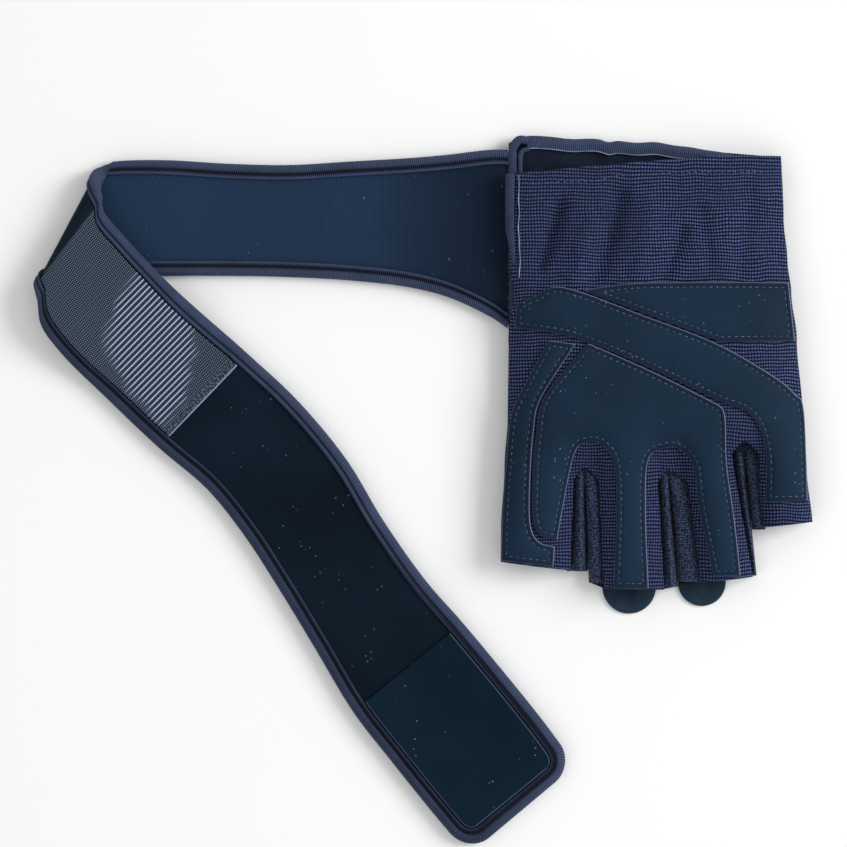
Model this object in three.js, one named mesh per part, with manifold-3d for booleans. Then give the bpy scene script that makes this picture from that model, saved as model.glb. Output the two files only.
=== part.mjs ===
// A right-hand half-finger weightlifting glove, laid palm up with its fingers towards -Y. Its wrist
// wrap is laid out to the left, folded over once, and runs back to the lower right.
// Every outline is a share of the glove's width and length, or of the strap's length and width.
import * as THREE from 'three';
import { mergeVertices } from 'three/addons/utils/BufferGeometryUtils.js';
import Module from 'manifold-3d';

const wasm = await Module();
wasm.setup();

// Glove sizes, in millimetres
const GLOVE_WIDTH = 109.2;
const GLOVE_LENGTH = 152.2;
const PALM_HEIGHT = 17;
const SIDE_HEIGHT = 7.6;
const SLIT_HEIGHT = 9.6;
const FINGER_CROWN = 12.6;
const FABRIC = 1.6;
const BACK_FABRIC = 1.4;
const GUSSET_FABRIC = 1.2;
const LEATHER = 1.2;
const SUEDE = 1.6;
const BINDING = 1.0;
const CREASE_HEIGHT = 3.3;
const SLIT_WIDTH = 1.0;
const CROTCH_RADIUS = 2.6;
const GUSSET_TUCK = 1.2;
const SIDE_CURL = 13;
const CUFF_CURL = 14;
const CUFF_FLANGE = 4.5;
const SLIT_FLANGE = 2.6;
const BEAD_WIDTH = 2.8;
const BEAD_HEIGHT = 2.2;
const MIDDLE_TAB_RADIUS = 9.4;
const RING_TAB_RADIUS = 8.4;
const THUMB_HOLE_LENGTH = 30;
const THUMB_HOLE_DEPTH = 20;
const SEAT_GAP = 0.3;
const EDGE_GAP = 0.5;

// Strap sizes, in millimetres
const STRAP_WIDTH = 41;
const FIRST_LEG = 138.6;
const SECOND_LEG = 252.6;
const SECOND_LEG_ANGLE = 51.2;
const STRAP_CORE = 2.4;
const STRAP_FLANGE = 5.2;
const STRAP_PATCH = 1.0;
const ROLL_RADIUS = 3.4;
const END_RADIUS = 9.5;
const DROP_LENGTH = 38;
const DROP_DELAY = 35;

// Steepest thickening of a sloping wall, and the powers of the arches over palm and fingers
const STEEPEST = 1.4;
const PALM_POWER = 4.5;
const FINGER_POWER = 2.5;

// Grid of the glove's panels
const PANEL_COLUMNS = 23;
const PANEL_ROWS = 22;
const BACK_COLUMNS = 17;
const BACK_ROWS = 17;
const GUSSET_COLUMNS = 7;
const GUSSET_ROWS = 9;
const GRID = { left: -0.03, right: 1.04, top: -0.06, bottom: 1.03 };

const COLOURS = {
  mesh: 0x242f4c, leather: 0x1e3340, knit: 0x1b2332, binding: 0x3c4660, suede: 0x1e2d39,
  lining: 0x23364f, webbing: 0x313d4a, hook: 0x12222d,
};

// The glove's two sides and its crown, down from the cuff; across and along are shares
const SIDES = [
  { along: -0.05, left: 0.029, right: 0.900, crown: 0.74, slit: 1 },
  { along: 0.15, left: 0.029, right: 0.910, crown: 0.76, slit: 1 },
  { along: 0.24, left: 0.031, right: 0.922, crown: 0.79, slit: 1 },
  { along: 0.32, left: 0.043, right: 0.935, crown: 0.85, slit: 0.6 },
  { along: 0.42, left: 0.028, right: 0.952, crown: 0.94, slit: 0 },
  { along: 0.60, left: 0.025, right: 0.971, crown: 1.00, slit: 0 },
  { along: 0.72, left: 0.015, right: 0.984, crown: 0.95, slit: 0 },
  { along: 0.86, left: 0.004, right: 1.003, crown: 0.85, slit: 0 },
  { along: 1.05, left: 0.000, right: 1.005, crown: 0.80, slit: 0 },
];

// Finger stalls: each side's place across at its crotch and at its mouth, and the mouth's place along
const FINGERS = [
  { crotch: [0.012, 0.237], mouth: [0.000, 0.226], end: [0.936, 0.956] },
  { crotch: [0.314, 0.504], mouth: [0.334, 0.527], end: [0.998, 1.000] },
  { crotch: [0.596, 0.750], mouth: [0.646, 0.812], end: [0.984, 0.970] },
  { crotch: [0.830, 0.985], mouth: [0.842, 1.003], end: [0.857, 0.844] },
];

// Crotches between the stalls, and where the crease of the gusset below each one meets the mouths
const CROTCHES = [
  { name: 'index_middle', across: 0.272, along: 0.722, crease: [0.285, 0.962], ends: [0.958, 0.985] },
  { name: 'middle_ring', across: 0.542, along: 0.726, crease: [0.577, 0.990], ends: [0.994, 0.982] },
  { name: 'ring_little', across: 0.782, along: 0.660, crease: [0.827, 0.966], ends: [0.968, 0.862] },
];

// Soft dents in the cuff: place and reach as shares of the glove, depth in shares of the palm's height
const CUFF_DENTS = [
  { across: 0.17, along: 0.19, wide: 0.045, long: 0.09, depth: 0.10 },
  { across: 0.36, along: 0.17, wide: 0.050, long: 0.10, depth: 0.08 },
  { across: 0.58, along: 0.20, wide: 0.050, long: 0.10, depth: 0.07 },
  { across: 0.80, along: 0.15, wide: 0.060, long: 0.09, depth: 0.05 },
];

const PALM_CUFF_EDGE = [[0.029, 0.044], [0.321, 0.025], [0.558, 0.011], [0.708, 0.003], [0.900, 0.002]];
const BACK_CUFF_EDGE = [[0.032, -0.030], [0.087, -0.038], [0.385, -0.026], [0.574, -0.016], [0.900, 0.003]];

// Leather outlines: each list is one smooth edge, and edges meet at corners
const PALM_PAD = [
  [[0.285, 0.436], [0.490, 0.505], [0.690, 0.578]],
  [[0.690, 0.578], [0.715, 0.600], [0.724, 0.710], [0.750, 0.844], [0.768, 0.966]],
  [[0.768, 0.966], [0.682, 0.968]],
  [[0.682, 0.968], [0.638, 0.818], [0.618, 0.715], [0.572, 0.677], [0.529, 0.674], [0.474, 0.700],
    [0.465, 0.818], [0.474, 0.996]],
  [[0.474, 0.996], [0.362, 0.996]],
  [[0.362, 0.996], [0.371, 0.818], [0.364, 0.710], [0.325, 0.667], [0.280, 0.661], [0.238, 0.686],
    [0.199, 0.818], [0.183, 0.885]],
  [[0.183, 0.885], [0.135, 0.872], [0.110, 0.835], [0.110, 0.743], [0.122, 0.634], [0.150, 0.553],
    [0.285, 0.436]],
];
const INDEX_GUARD = [
  [[0.154, 0.427], [0.240, 0.436]],
  [[0.240, 0.436], [0.130, 0.560], [0.107, 0.634], [0.096, 0.743], [0.096, 0.845], [0.122, 0.888],
    [0.174, 0.900]],
  [[0.174, 0.900], [0.170, 0.946]],
  [[0.170, 0.946], [0.004, 0.932]],
  [[0.004, 0.932], [0.008, 0.818], [0.019, 0.710], [0.030, 0.620], [0.052, 0.566], [0.154, 0.427]],
];
const DIAGONAL_BAND = [
  [[0.052, 0.345], [0.115, 0.324], [0.205, 0.308], [0.462, 0.377], [0.686, 0.437], [0.865, 0.506],
    [0.942, 0.549], [0.974, 0.590], [0.984, 0.795]],
  [[0.984, 0.795], [0.850, 0.798]],
  [[0.850, 0.798], [0.846, 0.674], [0.798, 0.598], [0.686, 0.562], [0.462, 0.486], [0.266, 0.428],
    [0.160, 0.409], [0.048, 0.398]],
  [[0.048, 0.398], [0.052, 0.345]],
];
const HEEL_PATCH = [
  [[0.262, 0.310], [0.417, 0.297], [0.612, 0.294], [0.924, 0.294]],
  [[0.924, 0.294], [0.944, 0.428]],
  [[0.944, 0.428], [0.702, 0.428]],
  [[0.702, 0.428], [0.486, 0.368], [0.262, 0.310]],
];

const PULL_TABS = [
  { name: 'middle', across: 0.417, along: 0.995, radius: MIDDLE_TAB_RADIUS },
  { name: 'ring', across: 0.651, along: 0.984, radius: RING_TAB_RADIUS },
];
const THUMB_HOLE_ALONG = 0.53;
const STRAP_ROOT = { across: 0.026, along: 0.145 };
const PALM_SLIT_END = 0.25;

// Where the palm's arch turns into the stalls' arches, and where the back starts to rise to its side seam
const STALLS_RISE = [0.60, 0.76];
const SEAM_RISE = [0.42, 0.52];

// How far below a crotch its gusset's slit starts, and its crease reaches its full depth
const SLIT_START = 0.08;
const CREASE_FALL = 0.12;

// The strap's first leg runs from the cuff to the fold: shares of its length, and of the strap's width
const FIRST_LEG_ROWS = [
  { top: [0.000, 0.59], bottom: [0.000, -0.94] },
  { top: [0.045, 0.59], bottom: [0.045, -0.84] },
  { top: [0.146, 0.55], bottom: [0.146, -0.68] },
  { top: [0.247, 0.52], bottom: [0.247, -0.59] },
  { top: [0.399, 0.49], bottom: [0.399, -0.53] },
  { top: [0.551, 0.46], bottom: [0.563, -0.50] },
  { top: [0.702, 0.47], bottom: [0.740, -0.49] },
  { top: [0.854, 0.50], bottom: [0.929, -0.49] },
  { top: [0.955, 0.50], bottom: [1.068, -0.49] },
  { top: [1.000, 0.49], bottom: [1.131, -0.50] },
];
const FOLD_MIDDLE = [1.106, -0.265];
// Its second leg runs from the fold to the rounded end, with its outer face up
const SECOND_LEG_ROWS = [
  { top: [-0.029, 0.50], bottom: [0.029, -0.50] },
  { top: [-0.012, 0.43], bottom: [0.057, -0.60] },
  { top: [0.032, 0.43], bottom: [0.106, -0.62] },
  { top: [0.130, 0.48], bottom: [0.195, -0.56] },
  { top: [0.268, 0.62], bottom: [0.291, -0.48] },
  { top: [0.360, 0.70], bottom: [0.378, -0.38] },
  { top: [0.467, 0.71], bottom: [0.459, -0.38] },
  { top: [0.564, 0.63], bottom: [0.541, -0.43] },
  { top: [0.666, 0.59], bottom: [0.640, -0.51] },
  { top: [0.745, 0.61], bottom: [0.746, -0.60] },
  { top: [0.835, 0.62], bottom: [0.833, -0.61] },
  { top: [0.922, 0.62], bottom: [0.918, -0.61] },
  { top: [0.998, 0.60], bottom: [1.002, -0.60] },
];
const WEBBING_END_ROW = 4;
const HOOK_START_ROW = 9;
const WEBBING_START = 1.82;
const CLOSE_ROWS = 0.01;
const LEG_STEPS = [10, 12, 24];
const END_STEPS = 4;
const STRAP_ACROSS = 3;

// Heights worked out from the sizes above
const SEAM_TOP = SIDE_HEIGHT - FABRIC * STEEPEST - SEAT_GAP;
const STRAP_HALF = STRAP_CORE / 2 + SEAT_GAP + BINDING;
const CUFF_LIFT = BINDING + EDGE_GAP;

// Shares worked out from the sizes above: the back's edge at the wrist slit, and the slit's foot
const BACK_LEFT = STRAP_ROOT.across + SEAT_GAP / GLOVE_WIDTH;
const THUMB_HOLE_TOP = THUMB_HOLE_ALONG - THUMB_HOLE_LENGTH / 2 / GLOVE_LENGTH;
const SLIT_FOOT = THUMB_HOLE_TOP - 2 * FABRIC / GLOVE_LENGTH;

const clamp = THREE.MathUtils.clamp;
const lerp = THREE.MathUtils.lerp;
const ease = (value, from, to) => THREE.MathUtils.smoothstep(value, from, to);
const planned = (across, along) => [across * GLOVE_WIDTH, -along * GLOVE_LENGTH];
const place = (across, along, height) => new THREE.Vector3(...planned(across, along), height);

// Reads one column of a table of rows at a place along it
function follow(rows, column, along) {
  const passed = rows.filter((row) => row.along <= along).length;
  const next = clamp(passed, 1, rows.length - 1);
  const [a, b] = [rows[next - 1], rows[next]];
  return lerp(a[column], b[column], ease(along, a.along, b.along));
}

const fingerSide = (finger, side, along) => {
  const start = CROTCHES[0].along;
  const share = clamp((along - start) / (finger.end[side] - start), -0.4, 1.2);
  return lerp(finger.crotch[side], finger.mouth[side], share);
};

// Top face of the palm side
function palmTop(across, along) {
  const left = follow(SIDES, 'left', along);
  const right = follow(SIDES, 'right', along);
  const offset = clamp((2 * across - left - right) / (right - left), -1, 1);
  const side = offset < 0 ? lerp(SIDE_HEIGHT, SLIT_HEIGHT, follow(SIDES, 'slit', along)) : SIDE_HEIGHT;
  const crown = PALM_HEIGHT * follow(SIDES, 'crown', along);
  const palm = side + (crown - side) * (1 - Math.abs(offset) ** PALM_POWER);
  const arches = FINGERS.map((finger) => {
    const near = fingerSide(finger, 0, along);
    const far = fingerSide(finger, 1, along);
    return 1 - Math.min(1, Math.abs((2 * across - near - far) / (far - near))) ** FINGER_POWER;
  });
  const fingers = SIDE_HEIGHT + (FINGER_CROWN - SIDE_HEIGHT) * Math.max(...arches);
  const dents = CUFF_DENTS.map((dent) => dent.depth * Math.exp(
    -(((across - dent.across) / dent.wide) ** 2) - ((along - dent.along) / dent.long) ** 2));
  const dented = PALM_HEIGHT * dents.reduce((sum, depth) => sum + depth, 0);
  return lerp(palm, fingers, ease(along, ...STALLS_RISE)) - dented;
}

// Underside of the back panel: flat on the table, curled up to the side seams and under the cuff's binding
function backBottom(across, along) {
  const seamLift = SEAM_TOP - EDGE_GAP - BACK_FABRIC * STEEPEST;
  const curl = (inset) => clamp(1 - inset / SIDE_CURL, 0, 1) ** 2;
  const rightCurl = curl((follow(SIDES, 'right', along) - across) * GLOVE_WIDTH);
  const leftCurl = curl((across - follow(SIDES, 'left', along)) * GLOVE_WIDTH) * ease(along, ...SEAM_RISE);
  const cuffInset = (along - lerp(BACK_CUFF_EDGE[1][1], BACK_CUFF_EDGE[4][1], across)) * GLOVE_LENGTH;
  const cuff = CUFF_LIFT * (1 - ease(cuffInset, CUFF_FLANGE + 2 * EDGE_GAP, CUFF_FLANGE + CUFF_CURL));
  return Math.max(seamLift * Math.max(leftCurl, rightCurl), cuff);
}

// How much thicker a sloping wall is, measured straight up
function steepness(height, across, along) {
  const step = SEAT_GAP;
  const [a, b] = [step / GLOVE_WIDTH, step / GLOVE_LENGTH];
  const dx = (height(across + a, along) - height(across - a, along)) / (2 * step);
  const dy = (height(across, along + b) - height(across, along - b)) / (2 * step);
  return Math.min(STEEPEST, Math.hypot(1, dx, dy));
}

function backTop(across, along) {
  return backBottom(across, along) + BACK_FABRIC * steepness(backBottom, across, along);
}

// Mesh of quads and triangles, as one geometry with shared corners
function meshed(corners, triangles) {
  const geometry = new THREE.BufferGeometry();
  const numbers = corners.flatMap((p) => [p.x, p.y, p.z]);
  geometry.setAttribute('position', new THREE.Float32BufferAttribute(numbers, 3));
  geometry.setIndex(triangles.flat());
  return geometry;
}

// Closed slab between two grids of points with the same rows and columns
function slab(upper, lower) {
  const rows = upper.length;
  const columns = upper[0].length;
  const corners = [...upper.flat(), ...lower.flat()];
  const up = (i, j) => i * columns + j;
  const low = (i, j) => (rows + i) * columns + j;
  const triangles = [];
  const quad = (a, b, c, d) => triangles.push([a, b, c], [a, c, d]);
  for (let i = 0; i < rows - 1; i += 1) {
    for (let j = 0; j < columns - 1; j += 1) {
      quad(up(i, j), up(i + 1, j), up(i + 1, j + 1), up(i, j + 1));
      quad(low(i, j), low(i, j + 1), low(i + 1, j + 1), low(i + 1, j));
    }
    quad(up(i, 0), low(i, 0), low(i + 1, 0), up(i + 1, 0));
    quad(up(i, columns - 1), up(i + 1, columns - 1), low(i + 1, columns - 1), low(i, columns - 1));
  }
  for (let j = 0; j < columns - 1; j += 1) {
    quad(up(0, j), up(0, j + 1), low(0, j + 1), low(0, j));
    quad(up(rows - 1, j), low(rows - 1, j), low(rows - 1, j + 1), up(rows - 1, j + 1));
  }
  return meshed(corners, triangles);
}

// Closed bar through a row of like sections
function bar(sections, profile) {
  const size = profile.length;
  const corners = sections.flat();
  const triangles = [];
  for (let i = 0; i < sections.length - 1; i += 1) {
    for (let j = 0; j < size; j += 1) {
      const k = (j + 1) % size;
      const [a, b] = [i * size + j, i * size + k];
      triangles.push([a, b, b + size], [a, b + size, a + size]);
    }
  }
  const last = (sections.length - 1) * size;
  THREE.ShapeUtils.triangulateShape(profile, []).forEach(([a, b, c]) => {
    triangles.push([a, c, b], [last + a, last + b, last + c]);
  });
  return meshed(corners, triangles);
}

function toSolid(geometry) {
  const bare = geometry.clone();
  ['normal', 'uv'].forEach((name) => bare.deleteAttribute(name));
  const merged = mergeVertices(bare, 1e-4);
  return new wasm.Manifold(new wasm.Mesh({
    numProp: 3,
    vertProperties: new Float32Array(merged.attributes.position.array),
    triVerts: new Uint32Array(merged.index.array),
  }));
}

function toGeometry(solid) {
  const mesh = solid.getMesh();
  const geometry = new THREE.BufferGeometry();
  geometry.setAttribute('position', new THREE.Float32BufferAttribute(mesh.vertProperties, 3));
  geometry.setIndex([...mesh.triVerts]);
  return geometry;
}

// Rings of the glove's plan: smooth edges that meet at corners
function outline(edges, divisions = 3) {
  const points = edges.flatMap((edge) => {
    const corners = edge.map((corner) => new THREE.Vector2(...planned(...corner)));
    const count = corners.length > 2 ? (corners.length - 1) * divisions : 1;
    return new THREE.SplineCurve(corners).getPoints(count).slice(0, -1);
  });
  return points;
}

function prism(points) {
  const reach = 2 * PALM_HEIGHT;
  const options = { depth: 2 * reach, bevelEnabled: false };
  return toSolid(new THREE.ExtrudeGeometry(new THREE.Shape(points), options).translate(0, 0, -reach));
}

// Slab over the glove's plan between two heights, cut to an outline
function panel(bottom, top, columns, rows, points, box = GRID) {
  const line = (height, along) => Array.from({ length: columns + 1 }, (_, j) => {
    const across = lerp(box.left, box.right, j / columns);
    return place(across, along, height(across, along));
  });
  const grid = (height) => Array.from({ length: rows + 1 },
    (_, i) => line(height, lerp(box.top, box.bottom, i / rows)));
  return toSolid(slab(grid(top), grid(bottom))).intersect(prism(points));
}

// Layer on the palm side, from one distance over the palm's top face to another
function palmLayer(from, to, points) {
  const lifted = (lift) => (across, along) => (
    palmTop(across, along) + lift * steepness(palmTop, across, along));
  return toGeometry(panel(lifted(from), lifted(to), PANEL_COLUMNS, PANEL_ROWS, points));
}

// One side of the glove's plan, down from the cuff
function sideEdge(column, from, to) {
  const steps = 9;
  return Array.from({ length: steps + 1 }, (_, i) => {
    const along = lerp(from, to, i / steps);
    return [follow(SIDES, column, along), along];
  });
}

// Round end of the cut between two stalls
function crotchEdge(crotch, left, right) {
  const drop = CROTCH_RADIUS / GLOVE_LENGTH;
  const foot = crotch.along + 1.6 * drop;
  const wide = CROTCH_RADIUS / GLOVE_WIDTH;
  return [[fingerSide(right, 0, foot), foot], [crotch.across + 0.7 * wide, crotch.along + 0.3 * drop],
    [crotch.across, crotch.along], [crotch.across - 0.7 * wide, crotch.along + 0.3 * drop],
    [fingerSide(left, 1, foot), foot]];
}

// Place across of a gusset's crease
const creaseAt = (crotch, along) => {
  const share = (along - crotch.along) / (crotch.crease[1] - crotch.along);
  return lerp(crotch.across, crotch.crease[0], share);
};

// The palm side's outline, with the cuts between the stalls
function palmOutline() {
  const little = FINGERS[3];
  const index = FINGERS[0];
  const edges = [PALM_CUFF_EDGE, sideEdge('right', PALM_CUFF_EDGE[4][1], little.end[1])];
  for (let i = FINGERS.length - 1; i >= 0; i -= 1) {
    const finger = FINGERS[i];
    edges.push([[finger.mouth[1], finger.end[1]], [finger.mouth[0], finger.end[0]]]);
    if (i > 0) {
      const turn = crotchEdge(CROTCHES[i - 1], FINGERS[i - 1], finger);
      edges.push([[finger.mouth[0], finger.end[0]], turn[0]], turn);
      edges.push([turn[4], [FINGERS[i - 1].mouth[1], FINGERS[i - 1].end[1]]]);
    }
  }
  edges.push(sideEdge('left', index.end[0], PALM_CUFF_EDGE[0][1]));
  return outline(edges, 1).reverse();
}

// The back's outline: the creases part its stalls, and a notch at the index side lets the thumb out
function backOutline() {
  const little = FINGERS[3];
  const index = FINGERS[0];
  const half = SLIT_WIDTH / 2 / GLOVE_WIDTH;
  const edges = [BACK_CUFF_EDGE, sideEdge('right', BACK_CUFF_EDGE[4][1], little.end[1])];
  edges.push([[little.mouth[1], little.end[1]], [little.mouth[0], little.end[0]]]);
  for (let i = CROTCHES.length - 1; i >= 0; i -= 1) {
    const crotch = CROTCHES[i];
    const left = FINGERS[i];
    const top = crotch.along + SLIT_START;
    const [leftEnd, rightEnd] = crotch.ends;
    edges.push([[creaseAt(crotch, rightEnd) + half, rightEnd], [creaseAt(crotch, top) + half, top]]);
    edges.push([[creaseAt(crotch, top) + half, top], [creaseAt(crotch, top) - half, top]]);
    edges.push([[creaseAt(crotch, top) - half, top], [creaseAt(crotch, leftEnd) - half, leftEnd]]);
    edges.push([[creaseAt(crotch, leftEnd) - half, leftEnd], [left.mouth[1], left.end[1]]]);
    edges.push([[left.mouth[1], left.end[1]], [left.mouth[0], left.end[0]]]);
  }
  const halfHole = THUMB_HOLE_ALONG - THUMB_HOLE_TOP;
  const holeSteps = 8;
  const hole = Array.from({ length: holeSteps + 1 }, (_, i) => {
    const turn = Math.PI * (0.5 - i / holeSteps);
    const along = THUMB_HOLE_ALONG + halfHole * Math.sin(turn);
    return [follow(SIDES, 'left', along) + THUMB_HOLE_DEPTH / GLOVE_WIDTH * Math.cos(turn), along];
  });
  edges.push(sideEdge('left', index.end[0], THUMB_HOLE_ALONG + halfHole));
  edges.push(hole);
  edges.push([hole[holeSteps], [BACK_LEFT, SLIT_FOOT]]);
  edges.push([[BACK_LEFT, SLIT_FOOT], [BACK_LEFT, BACK_CUFF_EDGE[0][1]]]);
  return outline(edges, 1).reverse();
}

// Folded gusset between two stalls, tucked under the palm's edges and slit up its crease
function gusset(crotch, left, right) {
  const tuck = GUSSET_TUCK / GLOVE_WIDTH;
  const top = (across, along) => {
    const middle = creaseAt(crotch, along);
    const side = across < middle ? fingerSide(left, 1, along) : fingerSide(right, 0, along);
    const share = clamp((across - middle) / (side - middle), 0, 1);
    const floor = lerp(SEAM_TOP, CREASE_HEIGHT, ease(along, crotch.along, crotch.along + CREASE_FALL));
    return lerp(floor, SEAM_TOP, share);
  };
  const bottom = (across, along) => top(across, along) - GUSSET_FABRIC * steepness(top, across, along);
  const half = SLIT_WIDTH / 2 / GLOVE_WIDTH;
  const start = crotch.along - 0.6 * GUSSET_TUCK / GLOVE_LENGTH;
  const shoulder = crotch.along + 1.6 * CROTCH_RADIUS / GLOVE_LENGTH;
  const slitTop = crotch.along + SLIT_START;
  const [leftEnd, rightEnd] = crotch.ends;
  const corners = [
    [crotch.across - tuck, start], [crotch.across + tuck, start],
    [fingerSide(right, 0, shoulder) + tuck, shoulder], [fingerSide(right, 0, rightEnd) + tuck, rightEnd],
    [creaseAt(crotch, rightEnd) + half, rightEnd], [creaseAt(crotch, slitTop) + half, slitTop],
    [creaseAt(crotch, slitTop) - half, slitTop], [creaseAt(crotch, leftEnd) - half, leftEnd],
    [fingerSide(left, 1, leftEnd) - tuck, leftEnd], [fingerSide(left, 1, shoulder) - tuck, shoulder],
  ];
  const edges = corners.map((corner, i) => [corner, corners[(i + 1) % corners.length]]);
  const box = {
    left: Math.min(...corners.map((corner) => corner[0])) - tuck,
    right: Math.max(...corners.map((corner) => corner[0])) + tuck,
    top: start - tuck,
    bottom: GRID.bottom,
  };
  return toGeometry(panel(bottom, top, GUSSET_COLUMNS, GUSSET_ROWS, outline(edges).reverse(), box));
}

// Half-round tab at a stall's mouth, from the back's edge outwards
function pullTab(tab, finger) {
  const edgeAt = (across) => lerp(finger.end[0], finger.end[1],
    (across - finger.mouth[0]) / (finger.mouth[1] - finger.mouth[0])) + SEAT_GAP / GLOVE_LENGTH;
  const steps = 16;
  const round = Array.from({ length: steps + 1 }, (_, i) => {
    const turn = Math.PI * i / steps;
    const across = tab.across + tab.radius * Math.cos(turn) / GLOVE_WIDTH;
    const along = tab.along + tab.radius * Math.sin(turn) / GLOVE_LENGTH;
    return new THREE.Vector2(across * GLOVE_WIDTH, -Math.max(along, edgeAt(across)) * GLOVE_LENGTH);
  });
  return new THREE.ExtrudeGeometry(new THREE.Shape(round), { depth: SUEDE, bevelEnabled: false });
}

// Profile of a binding folded over an edge: its insets from the outside, and its heights
const channel = (flange, wall, half) => [
  [flange, half], [wall, half], [0, half - wall], [0, wall - half], [wall, -half], [flange, -half],
  [flange, wall - half], [wall, wall - half], [wall, half - wall], [flange, half - wall],
].map(([inset, height]) => new THREE.Vector2(inset, height));

// Binding along a path of the glove's plan, with inwards as the direction of its profile's insets
function edgeBinding(path, inwards, middle, profile, overhang) {
  const sections = path.map(([across, along]) => profile.map((corner) => {
    const inset = corner.x - overhang;
    const a = across + inset * inwards[0] / GLOVE_WIDTH;
    const b = along + inset * inwards[1] / GLOVE_LENGTH;
    return place(a, b, middle(a, b) + corner.y);
  }));
  return bar(sections, profile);
}

function cuffBinding() {
  const half = BACK_FABRIC / 2 + EDGE_GAP + BINDING;
  const edge = new THREE.SplineCurve(BACK_CUFF_EDGE.map(([a, b]) => new THREE.Vector2(a, b)));
  const beadSide = BACK_LEFT + (BEAD_WIDTH + SEAT_GAP) / GLOVE_WIDTH;
  const start = edge.points[0].x;
  const share = (beadSide - start) / (edge.points[1].x - start) / (edge.points.length - 1);
  const steps = 12;
  const path = Array.from({ length: steps + 1 }, (_, i) => edge.getPoint(lerp(1, share, i / steps)));
  const middle = (across, along) => backBottom(across, along) + BACK_FABRIC / 2;
  const profile = channel(CUFF_FLANGE, BINDING, half);
  const beside = path.map((p) => [Math.max(p.x, beadSide), p.y]);
  return edgeBinding(beside, [0, 1], middle, profile, BINDING + SEAT_GAP);
}

// The palm's cloth is this much thicker, measured straight up, at the wrist slit
const SLIT_STEEPNESS = 1.1;

function palmSlitBinding() {
  const half = FABRIC * SLIT_STEEPNESS / 2 + EDGE_GAP + BINDING;
  const path = sideEdge('left', PALM_CUFF_EDGE[0][1], PALM_SLIT_END);
  const middle = (across, along) => {
    const top = palmTop(Math.max(across, follow(SIDES, 'left', along)), along);
    return top - FABRIC * SLIT_STEEPNESS / 2;
  };
  return edgeBinding(path, [1, 0], middle, channel(SLIT_FLANGE + BINDING, BINDING, half), BINDING + SEAT_GAP);
}

function backSlitBinding() {
  const corners = [[0, 0], [1, 0], [1, 0.6], [0.75, 1], [0.25, 1], [0, 0.6]];
  const profile = corners.map(([x, y]) => new THREE.Vector2(x * BEAD_WIDTH, y * BEAD_HEIGHT));
  const [top, foot] = [BACK_CUFF_EDGE[0][1] + EDGE_GAP / GLOVE_LENGTH, SLIT_FOOT - BEAD_WIDTH / GLOVE_LENGTH];
  const steps = 8;
  const path = Array.from({ length: steps + 1 }, (_, i) => [BACK_LEFT, lerp(top, foot, i / steps)]);
  const seat = (across, along) => backTop(across, along) + EDGE_GAP;
  return edgeBinding(path, [1, 0], seat, profile, 0);
}

// Middle surface of the strap. Reach runs 0 to 1 along the first leg, 1 to 2 round the fold and 2 to 3
// along the second leg; side runs -1 to 1 across it.
const rootPoint = place(STRAP_ROOT.across, STRAP_ROOT.along, STRAP_HALF);
const firstPlace = ([along, side]) => (
  new THREE.Vector3(-along * FIRST_LEG, side * STRAP_WIDTH, 0).add(rootPoint));
const foldPoint = firstPlace(FOLD_MIDDLE);
const turned = -THREE.MathUtils.degToRad(SECOND_LEG_ANGLE);
const heading = new THREE.Vector3(Math.cos(turned), Math.sin(turned), 0);
const sideways = new THREE.Vector3(-heading.y, heading.x, 0);
const secondPlace = ([along, side]) => foldPoint.clone().addScaledVector(heading, along * SECOND_LEG)
  .addScaledVector(sideways, side * STRAP_WIDTH);
const curveOf = (rows, column, map) => new THREE.CatmullRomCurve3(rows.map((row) => map(row[column])));
const firstTop = curveOf(FIRST_LEG_ROWS, 'top', firstPlace);
const firstBottom = curveOf(FIRST_LEG_ROWS, 'bottom', firstPlace);
const secondTop = curveOf(SECOND_LEG_ROWS, 'top', secondPlace);
const secondBottom = curveOf(SECOND_LEG_ROWS, 'bottom', secondPlace);

function strapEdges(reach) {
  const share = (start) => clamp(reach - start, 0, 1);
  if (reach <= 1) return [firstTop, firstBottom].map((curve) => curve.getPoint(share(0)));
  if (reach >= 2) return [secondTop, secondBottom].map((curve) => curve.getPoint(share(2)));
  const turn = Math.PI * (reach - 1);
  const [top, bottom] = [[firstTop, secondTop], [firstBottom, secondBottom]].map(
    ([from, to]) => from.getPoint(1).lerp(to.getPoint(0), reach - 1));
  const outwards = new THREE.Vector3(bottom.y - top.y, top.x - bottom.x, 0).normalize();
  const roll = outwards.multiplyScalar(ROLL_RADIUS * Math.sin(turn));
  roll.z = ROLL_RADIUS * (1 - Math.cos(turn));
  return [top.add(roll), bottom.add(roll)];
}

function strapPoint(reach, side) {
  const [top, bottom] = strapEdges(reach);
  const point = bottom.lerp(top, (side + 1) / 2);
  if (reach >= 2) {
    const start = secondBottom.getPoint(0).lerp(secondTop.getPoint(0), (side + 1) / 2);
    const distance = point.clone().sub(start).dot(heading) - DROP_DELAY * (side + 1) / 2;
    point.z += 2 * ROLL_RADIUS * (1 - ease(distance, 0, DROP_LENGTH));
  }
  return point;
}

// Point on the strap, lifted off its middle surface; the lining's side is positive
function strapAt(reach, side, lift) {
  const step = 0.004;
  const ahead = strapPoint(Math.min(reach + step, 3), side).sub(strapPoint(Math.max(reach - step, 0), side));
  const across = strapPoint(reach, side + step).sub(strapPoint(reach, side - step));
  return strapPoint(reach, side).addScaledVector(across.cross(ahead).normalize(), lift);
}

const strapHalfWidth = (reach) => {
  const [top, bottom] = strapEdges(reach);
  return top.distanceTo(bottom) / 2;
};

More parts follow.
